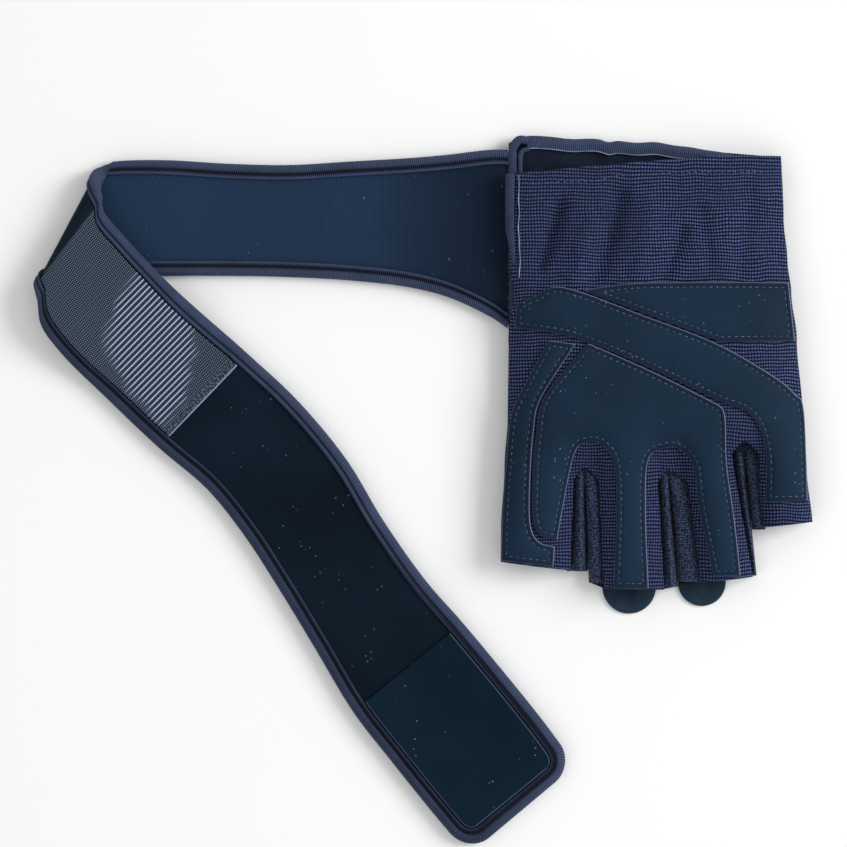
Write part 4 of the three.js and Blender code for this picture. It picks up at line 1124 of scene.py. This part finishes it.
class GLOVE_OT_gussets(bpy.types.Operator):
    """Build the fleece gussets between the stalls"""
    bl_idname = "glove.gussets"
    bl_label = "Fleece gussets"

    def execute(self, context):
        material = the_material("fleece knit", context)
        for i, crotch in enumerate(CROTCHES):
            self.gusset(crotch, FINGERS[i], FINGERS[i + 1], material, i)
        return {"FINISHED"}

    def gusset(self, crotch, left, right, material, seed):
        tuck = GUSSET_TUCK / GLOVE_WIDTH
        across, along = crotch["at"]
        start = along - 0.6 * GUSSET_TUCK / GLOVE_LENGTH
        foot = along + CROTCH_FOOT * CROTCH_RADIUS / GLOVE_LENGTH
        left_end, right_end = crotch["ends"]
        half = CREASE_GAP / 2 / GLOVE_WIDTH
        top = along + SLIT_START
        first = (across - tuck, start)
        right_side = [(finger_side(right, 0, a) + tuck, a) for a in (foot, right_end)]
        left_side = [(finger_side(left, 1, a) - tuck, a) for a in (left_end, foot)]
        corners = [first, (across + tuck, start), *right_side,
                   (crease_at(crotch, right_end) + half, right_end), (crease_at(crotch, top), top),
                   (crease_at(crotch, left_end) - half, left_end), *left_side, first]
        cut = cut_cloth(closed_outline(straight(corners), 0.45 * MM), 0.5 * MM, (0.2 * MM, 0.4 * MM))
        plan, inset, _, _ = cut
        x, y = to_shares(plan)
        crease = crease_at(crotch, y)
        side = np.where(x < crease, finger_side(left, 1, y), finger_side(right, 0, y))
        share = np.clip((x - crease) / (side - crease), 0, 1.3)
        opened = smooth(y, along - 0.02, along + 0.06)
        spread = smooth(y, along, along + 0.10)
        wide = np.sin(math.pi * np.clip(share, 0, 1) ** 0.6) ** 0.8
        crest = np.exp(-(((share - 0.40) / 0.30) ** 2)) * smooth(share, 0, 0.2)
        valley = np.exp(-(((share - 0.92) / 0.16) ** 2))
        roll = np.where(x < crease, 1.1 * crest - 0.6 * valley, wide)
        crease_height = blend(SEAM_TOP, GUSSET_CREASE, spread)
        height = blend(crease_height, SEAM_TOP, smooth(share, 0.15, 0.95)) + opened * GUSSET_RISE * roll
        slanted = np.column_stack([plan[:, 0], (plan[:, 1] + 0.6 * plan[:, 0]) * 0.5])
        height += GUSSET_WRINKLE * soft_noise(slanted, 3.4 * MM, 11 + seed) * np.abs(roll) * opened
        height = np.maximum(height, GUSSET_LEAST)
        thick = GUSSET_FABRIC * 1.2
        drop = (1 - round_edge(inset, 0.6 * MM)) * 0.4 * thick
        add_cloth(f"fleece_{crotch['name']}", cut, height - drop, np.maximum(height - thick + drop, 0.5 * MM),
                  [material], f"gusset_{crotch['name']}", "gusset_knit", "folded", ["knit_palm"],
                  cloth=np.vstack([plan, plan]))


class GLOVE_OT_leather(bpy.types.Operator):
    """Build the leather patches and their stitches"""
    bl_idname = "glove.leather"
    bl_label = "Leather patches"

    def execute(self, context):
        sizes = context.scene.glove_sizes
        leather = the_material("microfibre leather", context)
        thread = the_material("stitching thread", context)
        for seed, (name, edges) in enumerate(LEATHERS.items()):
            loop = closed_outline(edges, 0.6 * MM)
            cut = cut_cloth(loop, sizes.leather_step, LEATHER_INSETS)
            plan, inset, _, _ = cut
            base = palm_top(plan) + SEAT_GAP
            thick = LEATHER * steepness(palm_top, plan)
            top = base + thick + self.relief(plan, inset, sizes)
            # The cut edge's own pale share all round, and more of it as a painted highlight where the edge
            # faces the key light
            step = 0.2 * MM * np.array(HIGHLIGHT_WAY)
            outwards = (off_loop(plan - step, loop) - off_loop(plan + step, loop)) / (0.4 * MM)
            pale = PALE_LEAST + HIGHLIGHT_MORE * np.clip(outwards, 0, 1)
            add_cloth(f"leather_{name}", cut, top - (1 - round_edge(inset, 0.6 * MM)) * 0.5 * thick, base,
                      [leather], name, "palm_leather", "laid", ["knit_palm"],
                      values={"edge": np.r_[inset, inset], "pale": np.r_[pale, pale]})

            def on_leather(at):
                depth = np.full(len(at), sizes.stitch_inset)
                height = palm_top(at) + SEAT_GAP + LEATHER * steepness(palm_top, at)
                return height + self.relief(at, depth, sizes)

            ring = inner_rings(closed_outline(edges, 0.15 * MM), [sizes.stitch_inset])[0]
            rows = [stitch_row(part, on_leather, sizes, seed) for part in runs(ring, 1.2 * MM)]
            joined = (np.vstack(parts) for parts in zip(*rows))
            stitched(f"stitches_{name}", *joined, sizes, thread, "palm_leather")
        return {"FINISHED"}

    def relief(self, plan, inset, sizes):
        """Puff of the leather: pulled down by its stitches and a little uneven between them."""
        pulled = -LEATHER_PULL * np.exp(-(((inset - sizes.stitch_inset) / (0.45 * MM)) ** 2))
        puff = LEATHER_PUFF * smooth(inset, 1.9 * MM, 6 * MM)
        uneven = 0.12 * MM * soft_noise(plan, 14 * MM, 8) + 0.05 * MM * soft_noise(plan, 5 * MM, 9)
        return pulled + puff + uneven * smooth(inset, 0, 3 * MM)


def channel_profile(flange, half, count, upper_ridge, lower_ridge):
    """Closed profile of a binding folded over an edge: insets and heights, from upper to lower lip."""
    flat = np.linspace(flange, half, count)
    turn = np.linspace(math.pi / 2, -math.pi / 2, count // 2)
    round_inset = half - half * np.cos(turn)
    ridge = np.where(turn > 0, upper_ridge(round_inset), -lower_ridge(round_inset)) * np.abs(np.sin(turn))
    upper = np.column_stack([flat, half + upper_ridge(flat)])
    edge = np.column_stack([round_inset, half * np.sin(turn) + ridge])
    lower = np.column_stack([flat[::-1], -half - lower_ridge(flat[::-1])])
    gap = half - BINDING
    inner = np.array([[flange, -gap], [BINDING, -gap], [BINDING, gap], [flange, gap]])
    return np.vstack([upper, edge[1:-1], lower, inner])


def bumps(inset, *rows):
    """Sum of rounded bumps: each has its height, its place and its half width in millimetres."""
    return sum(height * MM * np.exp(-(((inset - place * MM) / (width * MM)) ** 2))
               for height, place, width in rows)


def lining_ridges(inset):
    """The strap's binding on its lining side: a round roll, a deep groove and a narrow second ridge."""
    return bumps(inset, (0.45, 1.4, 1.0), (-0.95, 3.45, 0.62), (0.05, 4.75, 0.45))


def outer_ridges(inset):
    """The strap's binding on its outer side: a round roll, a shallow groove and a wide second ridge."""
    return bumps(inset, (0.45, 1.5, 1.1), (-0.6, 3.3, 0.4), (0.1, 4.3, 0.6), (-0.7, 5.3, 0.4))


def one_roll(inset):
    """The cuff's bindings: one round roll, lower at its lip."""
    return bumps(inset, (0.3, 1.5, 1.2)) - 0.25 * MM * smooth(inset, 3.2 * MM, 4.6 * MM)


def swept(name, sections, material, node=None, groove=None):
    """A binding through closed sections, with its length along the edge as the cloth's first direction."""
    points, faces = tube_mesh(sections)
    along = lengths(sections.mean(axis=1))
    around = lengths(sections[len(sections) // 2])
    cloth = np.column_stack([np.repeat(along, len(around)), np.tile(around, len(along))])
    # The groove values are painted shade for the binding's colour
    values = None if groove is None else {"groove": groove.ravel()}
    add_mesh(name, points, faces, [material], [node] if node else [], "ribbed_binding", values=values,
             cloth=cloth)


def oval_sections(line, across, height, up, count):
    """Ovals round a line in the plan; across is the way and half width of each, up its half height."""
    turns = np.linspace(0, 2 * math.pi, count, endpoint=False)
    return np.stack([np.column_stack([line + across * math.cos(turn), height + up * math.sin(turn)])
                     for turn in turns], axis=1)


class GLOVE_OT_bindings(bpy.types.Operator):
    """Build the ribbed bindings at the cuff and the wrist slit"""
    bl_idname = "glove.bindings"
    bl_label = "Cuff bindings"

    def execute(self, context):
        sizes = context.scene.glove_sizes
        ribbed = the_material("ribbed binding", context)
        thread = the_material("stitching thread", context)
        self.cuff(ribbed, sizes)
        self.palm_slit(ribbed, sizes)
        self.back_slit(ribbed, sizes)
        self.raw_edges(the_material("raw edge", context))
        hem = spaced(bend(to_plan(HEM_STITCH), 120), LINE_STEP)

        def on_knit(at):
            return palm_top(at) + knit_relief(at)

        stitched("stitches_hem", *stitch_row(hem, on_knit, sizes, 21), sizes, thread, "mesh_knit")
        return {"FINISHED"}

    def cuff(self, ribbed, sizes):
        half = BACK_FABRIC / 2 + EDGE_GAP + BINDING
        line = spaced(bend(to_plan(BACK_CUFF_EDGE[1:]), 160), 0.45 * MM)
        line[:, 1] -= self.pucker(line) + CUFF_SHIFT * smooth(to_shares(line)[0], 0.55, 0.76)
        sections = []
        for inset, height in channel_profile(CUFF_FLANGE, half, sizes.binding_sides // 2, one_roll, one_roll):
            at = line - (0, inset - BINDING - SEAT_GAP)
            sections.append(np.column_stack([at, np.maximum(0, back_bottom(at) + BACK_FABRIC / 2 + height)]))
        swept("binding_cuff", np.stack(sections, axis=1)[::-1], ribbed, "cuff_binding")

    def palm_slit(self, ribbed, sizes):
        half = FABRIC * SLIT_STEEPNESS / 2 + EDGE_GAP + BINDING
        flange = 3.1 * MM
        line = spaced(to_plan(side_line("left", PALM_CUFF_EDGE[0][1], 0.25)), LINE_STEP)
        share = np.linspace(0, 1, len(line))
        narrow = 1 - 0.6 * smooth(share, 0.55, 1.0)
        wave = 0.12 * MM * soft_noise(line, 8 * MM, 33)
        sections = []
        for inset, height in channel_profile(flange, half, sizes.binding_sides // 2, one_roll, one_roll):
            at = line.copy()
            at[:, 0] += flange - (flange - inset) * narrow - BINDING - SEAT_GAP + wave
            on_palm = np.column_stack([np.maximum(at[:, 0], START_X + 0.031 * GLOVE_WIDTH), at[:, 1]])
            middle = palm_top(on_palm) - FABRIC * SLIT_STEEPNESS / 2
            sections.append(np.column_stack([at, middle + height * (0.5 + 0.5 * narrow)]))
        swept("binding_slit_palm", np.stack(sections, axis=1), ribbed, "slit_binding_palm")

    def back_slit(self, ribbed, sizes):
        """The bead along the back's edge, which turns into the cuff's binding, and a thin ridge beside it."""
        foot = SLIT_FOOT - BEAD_WIDTH / GLOVE_LENGTH
        side = BACK_LEFT + BEAD_WIDTH / 2 / GLOVE_WIDTH
        corners = [(side, foot), (side, 0.25), (side, 0.1), (side, 0.0), (side + 0.004, -0.021),
                   (side + 0.022, -0.036), (side + 0.05, -0.033)]
        self.bead("binding_slit_back", corners, BEAD_WIDTH / 2, BEAD_HEIGHT / 2, ribbed, sizes,
                  "slit_binding_back")
        side += (BEAD_WIDTH / 2 + 1.2 * MM) / GLOVE_WIDTH
        corners = [(side, 0.2), (side, 0.1), (side, 0.02), (side + 0.004, -0.008), (side + 0.03, -0.016)]
        self.bead("binding_slit_ridge", corners, 0.9 * MM, 0.9 * MM, ribbed, sizes)

    def bead(self, name, corners, across, up, ribbed, sizes, node=None):
        line = spaced(bend(to_plan(corners), 240), LINE_STEP)
        way = np.gradient(line, axis=0)
        way /= np.linalg.norm(way, axis=1, keepdims=True)
        swell = across * (1 + 0.1 * soft_noise(line, 6 * MM, 34))
        sideways = np.column_stack([-way[:, 1], way[:, 0]]) * swell[:, None]
        seat = back_top(line) + EDGE_GAP + up
        swept(name, oval_sections(line, sideways, seat, up, sizes.binding_sides), ribbed, node)

    def raw_edges(self, thread):
        """Thin pale lines: the cut edge of the palm's cloth at the slit, and the cuff binding's lower lip."""
        slit = spaced(bend(to_plan(PALM_SLIT_EDGE), 100), LINE_STEP)
        slit[:, 0] += 0.4 * MM * soft_noise(slit, 9 * MM, 35)
        lip = spaced(bend(to_plan(BACK_CUFF_EDGE[1:]), 160), LINE_STEP)
        lip[:, 1] -= CUFF_FLANGE - BINDING - SEAT_GAP + self.pucker(lip)
        lip = lip[to_shares(lip)[0] < 0.66]
        lift = BACK_FABRIC + EDGE_GAP + 0.75 * BINDING
        half = np.array([0.2 * MM, 0])
        for name, line, across, height in (("raw_edge_slit", slit, half, palm_top(slit) + 0.25 * MM),
                                           ("raw_edge_cuff", lip, half[::-1], back_bottom(lip) + lift)):
            points, faces = tube_mesh(oval_sections(line, across, height, 0.25 * MM, 6))
            add_mesh(name, points, faces, [thread], slot="mesh_knit")

    def pucker(self, line):
        """How far the cuff's binding strays inwards: one dent and slow waves."""
        dent = 0.8 * MM * np.exp(-(((to_shares(line)[0] - 0.350) / 0.020) ** 2))
        return dent - 0.3 * MM * soft_noise(line, 14 * MM, 31)


class GLOVE_OT_tabs(bpy.types.Operator):
    """Build the suede pull tabs"""
    bl_idname = "glove.tabs"
    bl_label = "Pull tabs"

    def execute(self, context):
        suede = the_material("suede", context)
        for tab in PULL_TABS:
            finger = FINGERS[tab["finger"]]
            turn = np.linspace(0, math.pi, 80)
            across = tab["across"] + tab["radius"] * np.cos(turn) / GLOVE_WIDTH
            along = tab["along"] + tab["radius"] * np.sin(turn) / GLOVE_LENGTH
            near, far = finger["mouth"]
            edge = blend(*finger["end"], (across - near) / (far - near)) - TAB_TUCK / GLOVE_LENGTH
            ends = list(zip(across, np.maximum(along, edge)))
            seat = [(across[-1], edge[-1]), (across[0], edge[0])]
            sides = [pair for pair in ([ends[-1], seat[0]], seat, [seat[1], ends[0]])
                     if np.ptp(pair, axis=0).max() > 1e-4]
            loop = closed_outline([ends, *sides], 0.4 * MM)
            cut = cut_cloth(loop, 0.7 * MM, (0.15 * MM, 0.4 * MM, 0.8 * MM))
            plan, inset, _, _ = cut
            lift = 0.12 * MM * soft_noise(plan, 8 * MM, 41)
            top = SUEDE * (0.45 + 0.55 * round_edge(inset, 0.8 * MM)) + lift * smooth(inset, 0, 2 * MM)
            name = tab["name"]
            add_cloth(f"suede_tab_{name}", cut, top, 0 * top, [suede], f"pull_tab_{name}", "tab_suede",
                      "laid", ["floor"])
        return {"FINISHED"}


ROOT = np.array([START_X + STRAP_ROOT[0] * GLOVE_WIDTH, START_Y - STRAP_ROOT[1] * GLOVE_LENGTH, STRAP_HALF])
FOLD = ROOT + np.array([-FOLD_MIDDLE[0] * FIRST_LEG, FOLD_MIDDLE[1] * STRAP_WIDTH, 0])
HEADING = np.array([math.cos(SECOND_LEG_ANGLE), -math.sin(SECOND_LEG_ANGLE), 0])
SIDEWAYS = np.array([-HEADING[1], HEADING[0], 0])
DENSE = 2401


def leg_curve(rows, start, along, across):
    """One edge of a leg of the strap as a dense curve."""
    places = [start + along * a + across * STRAP_WIDTH * b for a, b in rows]
    return bend(places, DENSE, centripetal=True)


FIRST = [leg_curve(rows, ROOT, np.array([-FIRST_LEG, 0, 0]), np.array([0, 1, 0]))
         for rows in (FIRST_TOP, FIRST_BOTTOM)]
SECOND = [leg_curve(rows, FOLD, HEADING * SECOND_LEG, SIDEWAYS) for rows in (SECOND_TOP, SECOND_BOTTOM)]


def on_curve(curve, share):
    """Points at shares of a dense curve."""
    place = np.clip(share, 0, 1) * (len(curve) - 1)
    low = np.minimum(place.astype(int), len(curve) - 2)
    return blend(curve[low], curve[low + 1], (place - low)[:, None])


def strap_edges(reach):
    """The strap's two edges: reach is 0 to 1 on the first leg, to 2 round the fold, to 3 on the second."""
    found = []
    share = np.clip(reach - 1, 0, 1)[:, None]
    fold = [blend(first[-1], second[0], share) for first, second in zip(FIRST, SECOND)]
    span = fold[0] - fold[1]
    outwards = np.column_stack([-span[:, 1], span[:, 0], np.zeros(len(span))])
    outwards /= np.linalg.norm(outwards, axis=1, keepdims=True)
    roll = outwards * ROLL_RADIUS * np.sin(math.pi * share)
    roll[:, 2] = ROLL_RADIUS * (1 - np.cos(math.pi * share[:, 0]))
    for i in (0, 1):
        on_first = on_curve(FIRST[i], reach)
        on_second = on_curve(SECOND[i], reach - 2)
        later = np.where((reach >= 2)[:, None], on_second, fold[i] + roll)
        found.append(np.where((reach <= 1)[:, None], on_first, later))
    return found


def strap_point(reach, side):
    """Points on the strap's middle surface; side is -1 at its lower edge and 1 at its upper edge."""
    top, bottom = strap_edges(reach)
    share = ((side + 1) / 2)[:, None]
    point = blend(bottom, top, share)
    start = blend(SECOND[1][0], SECOND[0][0], share)
    distance = (point - start) @ HEADING - DROP_DELAY * share[:, 0]
    raised = 2 * ROLL_RADIUS * (1 - smooth(distance, 0, DROP_LENGTH))
    point[:, 2] += np.where(reach >= 2, raised, 0)
    return point


def strap_at(reach, side, lift):
    """Points on the strap, lifted off its middle surface; the lining's side is positive."""
    shape = np.broadcast(reach, side, lift).shape
    reach, side, lift = (np.broadcast_to(np.asarray(each, float), shape).ravel()
                         for each in (reach, side, lift))
    step = 0.004
    ahead = strap_point(np.minimum(reach + step, 3), side) - strap_point(np.maximum(reach - step, 0), side)
    across = strap_point(reach, side + step) - strap_point(reach, side - step)
    up = np.cross(across, ahead)
    up /= np.linalg.norm(up, axis=1, keepdims=True)
    return (strap_point(reach, side) + up * lift[:, None]).reshape(*shape, 3)


def strap_half_width(reach):
    """Half the strap's width at places along it."""
    top, bottom = strap_edges(np.atleast_1d(np.asarray(reach, float)))
    return np.linalg.norm(top - bottom, axis=1) / 2


END_SPAN = np.linalg.norm(SECOND[0][-1] - SECOND[0][int((DENSE - 1) * (1 - 1 / LAST_ROW))]) * LAST_ROW
FIRST_STEPS, FOLD_STEPS, SECOND_STEPS, CORNER_STEPS = 260, 60, 460, 28


def rim_rows(inset):
    """The strap's rim at an inset: reach and share of the half width, ending round the corners."""
    straight_end = 3 - END_RADIUS / END_SPAN
    reach = np.r_[np.linspace(0, 1, FIRST_STEPS, endpoint=False),
                  np.linspace(1, 2, FOLD_STEPS, endpoint=False),
                  np.linspace(2, straight_end, SECOND_STEPS, endpoint=False)]
    half = 1 - inset / strap_half_width(reach)
    turn = np.linspace(0, math.pi / 2, CORNER_STEPS)
    radius = END_RADIUS - inset
    end_reach = 3 - (inset + radius * (1 - np.sin(turn))) / END_SPAN
    end_half = 1 - (inset + radius * (1 - np.cos(turn))) / strap_half_width(3)
    return np.r_[reach, end_reach], np.r_[half, end_half]


def strap_slab(inset, start, end, low, high, columns=44):
    """Grids of the strap's slab between two lifts, which may be functions of side."""
    reach, half = rim_rows(inset)
    kept = (reach >= start) & (reach <= end)
    reach, half = reach[kept], half[kept]
    if end < 3:
        reach, half = np.r_[reach, end], np.r_[half, 1 - inset / strap_half_width(end)]
    if start > 0:
        reach, half = np.r_[start, reach], np.r_[1 - inset / strap_half_width(start), half]
    share = np.linspace(1, -1, columns + 1)
    side = half[:, None] * share[None, :]
    reach = np.repeat(reach[:, None], columns + 1, axis=1)
    grids = [strap_at(reach, side, lift(side) if callable(lift) else lift) for lift in (low, high)]
    middle = strap_at(reach[:, columns // 2], side[:, columns // 2], 0.0)
    along = lengths(middle)
    width = side * strap_half_width(reach[:, 0])[:, None]
    cloth = np.column_stack([np.repeat(along, columns + 1), width.ravel()])
    return grids, np.vstack([cloth, cloth]), (reach, side, along)


class GLOVE_OT_strap(bpy.types.Operator):
    """Build the wrist wrap"""
    bl_idname = "glove.strap"
    bl_label = "Wrist wrap"

    def execute(self, context):
        sizes = context.scene.glove_sizes
        self.body(context)
        self.binding(context, sizes)
        self.webbing(context)
        self.hook_strip(context)
        return {"FINISHED"}

    def body(self, context):
        lining = the_material("ribbed lining", context)
        outer = the_material("smooth strap face", context)

        (lower, upper), cloth, _ = strap_slab(
            BINDING + EDGE_GAP, 0, 3, lambda side: -self.puffed(side), self.puffed)
        points, faces = grid_mesh(lower, upper)
        outer_faces = (lower.shape[0] - 1) * (lower.shape[1] - 1)
        indexes = [1] * outer_faces + [0] * (len(faces) - outer_faces)
        thing = add_mesh("strap_body", points, faces, [lining, outer], ["strap_core"], "strap_lining",
                         face_materials=indexes, cloth=cloth)

    def puffed(self, side):
        """Half the strap's thickness, a little more in its middle."""
        return STRAP_CORE / 2 + 0.25 * MM * (1 - side ** 4)

    def binding(self, context, sizes):
        ribbed = the_material("ribbed binding", context)
        count = sizes.binding_sides // 2
        profile = channel_profile(STRAP_FLANGE, STRAP_HALF, count, lining_ridges, outer_ridges)
        sides = []
        grooves = []
        for sign in (1, -1):
            rings = []
            for inset, height in profile:
                reach, half = rim_rows(inset)
                rings.append(strap_at(reach, sign * half, height))
            sides.append(np.stack(rings, axis=1))
            grooves.append(self.grooves(profile, reach, sign))
        sections = np.vstack([sides[0], sides[1][::-1]])
        sections[..., 2] = np.maximum(sections[..., 2], 0)
        groove = np.vstack([grooves[0], grooves[1][::-1]])
        swept("binding_strap", sections, ribbed, "strap_binding", groove=groove)

    def grooves(self, profile, reach, sign):
        """Painted shade on the binding at each point of its sections: in its grooves, over the second ridge
        where it curls over on the second leg, and somewhat over the lower side's outer face there.
        """
        inset, height = profile.T
        lining_groove_shade = bumps(inset, (1000, 3.5, 0.8))
        outer_groove_shade = bumps(inset, (850, 3.3, 0.35), (1000, 5.15, 0.3))
        curled = smooth(inset, 2.7 * MM, 3.4 * MM) * (1 - smooth(inset, 4.5 * MM, 4.8 * MM))
        curl_shadow = smooth(reach, 2.55, 2.8) if sign > 0 else smooth(reach, 1.9, 2.1)
        shaded = 0.0 if sign > 0 else 0.35
        outer_shade = blend(outer_groove_shade, np.maximum(curled, shaded), curl_shadow[:, None])
        return np.where(height > 0, lining_groove_shade, outer_shade)

    def webbing(self, context):
        material = the_material("woven webbing", context)
        (lower, upper), _, (_, side, along) = strap_slab(
            STRAP_FLANGE + SEAT_GAP, WEBBING_START, WEBBING_END, PATCH_BASE, PATCH_BASE - STRAP_PATCH)
        points, faces = grid_mesh(upper, lower)
        plan = (upper.reshape(-1, 3) - FOLD)[:, :2]
        way = np.array([math.cos(WEAVE_ANGLE), -math.sin(WEAVE_ANGLE)])
        weave = np.column_stack([plan @ way, plan @ (-way[1], way[0])])
        shine = self.shine(weave / STRAP_WIDTH)
        end = np.repeat(along[-1] - along, side.shape[1])
        start, slant = WEBBING_SEAM
        plain = 1 - smooth(weave[:, 0] - start - slant * weave[:, 1], -0.3 * MM, 0.3 * MM)
        values = {"shine": np.r_[shine, shine], "end": np.r_[end, end], "plain": np.r_[plain, plain]}
        thing = add_mesh("webbing", points, faces, [material], ["webbing_patch"], "woven_webbing",
                         values=values, cloth=np.vstack([weave, weave]) + 40 * MM)

    def shine(self, place):
        """Share of painted highlight over the webbing, soft at its edges."""
        inside = off_loop(place, counter_clockwise(np.array(SHINE)))
        return smooth(inside + 0.03 * soft_noise(place, 0.25, 51), -0.03, 0.08)

    def hook_strip(self, context):
        material = the_material("hook strip", context)
        (lower, upper), cloth, (reach, side, along) = strap_slab(
            STRAP_FLANGE + SEAT_GAP, HOOK_START, 3, PATCH_BASE, PATCH_BASE - STRAP_PATCH)
        points, faces = grid_mesh(upper, lower)
        off_middle = np.abs(side)
        to_side = off_middle.max(axis=1, keepdims=True) - off_middle
        to_side = to_side * strap_half_width(reach[:, 0])[:, None]
        to_end = (3 - reach) * END_SPAN - STRAP_FLANGE - SEAT_GAP
        edge = np.maximum(0, np.minimum(to_side, to_end)).ravel()
        thing = add_mesh("hook_strip", points, faces, [material], ["hook_pad"], "hook_fastener", cloth=cloth,
                         values={"edge": np.r_[edge, edge]})


class GLOVE_OT_stage(bpy.types.Operator):
    """Set the floor, the lights and the camera"""
    bl_idname = "glove.stage"
    bl_label = "Floor, light and camera"

    def execute(self, context):
        scene = context.scene
        scene.view_settings.view_transform = "Standard"
        material, _, shader = new_material("pale floor", (0.9, 0.0))
        shader.inputs["Base Color"].default_value = shade((0.92, 0.92, 0.92))
        corners = [(x * FLOOR_HALF, y * FLOOR_HALF, 0) for x, y in ((-1, -1), (1, -1), (1, 1), (-1, 1))]
        mesh = bpy.data.meshes.new("floor")
        mesh.from_pydata(corners, [], [(0, 1, 2, 3)])
        mesh.materials.append(material)
        floor = bpy.data.objects.new("floor", mesh)
        scene.collection.objects.link(floor)

        world = bpy.data.worlds.new("studio")
        world.use_nodes = True
        background = world.node_tree.nodes["Background"].inputs
        background["Color"].default_value = (1, 1, 1, 1)
        background["Strength"].default_value = SKY_STRENGTH
        scene.world = world
        for name, place, power in LIGHTS:
            light = bpy.data.lights.new(name, "AREA")
            light.energy = power
            light.size = 1.0
            lamp = bpy.data.objects.new(name, light)
            lamp.location = place
            lamp.rotation_euler = (-Vector(place)).to_track_quat("-Z", "Y").to_euler()
            scene.collection.objects.link(lamp)

        camera = bpy.data.cameras.new("camera")
        camera.lens = 200
        camera.sensor_width = 36
        distance = PHOTO_WIDTH * PIXEL * camera.lens / camera.sensor_width
        thing = bpy.data.objects.new("camera", camera)
        thing.location = (*PHOTO_MIDDLE, distance + 8 * MM)
        scene.collection.objects.link(thing)
        scene.camera = thing
        return {"FINISHED"}


STEPS = (GLOVE_OT_knit, GLOVE_OT_gussets, GLOVE_OT_leather, GLOVE_OT_bindings, GLOVE_OT_tabs, GLOVE_OT_strap,
         GLOVE_OT_stage)


class GLOVE_PT_panel(bpy.types.Panel):
    """Buttons for the glove's pieces, in the sidebar"""
    bl_idname = "GLOVE_PT_panel"
    bl_label = "Weightlifting glove"
    bl_space_type = "VIEW_3D"
    bl_region_type = "UI"
    bl_category = "Glove"

    def draw(self, context):
        for group in (context.scene.glove_sizes, context.scene.glove_colours):
            for name in group.__annotations__:
                self.layout.prop(group, name)
        for step in STEPS:
            self.layout.operator(step.bl_idname)


CLASSES = (GloveSizes, GloveColours, *STEPS, GLOVE_PT_panel)


def register():
    for each in CLASSES:
        bpy.utils.register_class(each)
    bpy.types.Scene.glove_sizes = PointerProperty(type=GloveSizes)
    bpy.types.Scene.glove_colours = PointerProperty(type=GloveColours)


def unregister():
    del bpy.types.Scene.glove_sizes
    del bpy.types.Scene.glove_colours
    for each in reversed(CLASSES):
        bpy.utils.unregister_class(each)


def main():
    register()
    bpy.ops.glove.knit()
    bpy.ops.glove.gussets()
    bpy.ops.glove.leather()
    bpy.ops.glove.bindings()
    bpy.ops.glove.tabs()
    bpy.ops.glove.strap()
    bpy.ops.glove.stage()


if __name__ == "__main__":
    main()
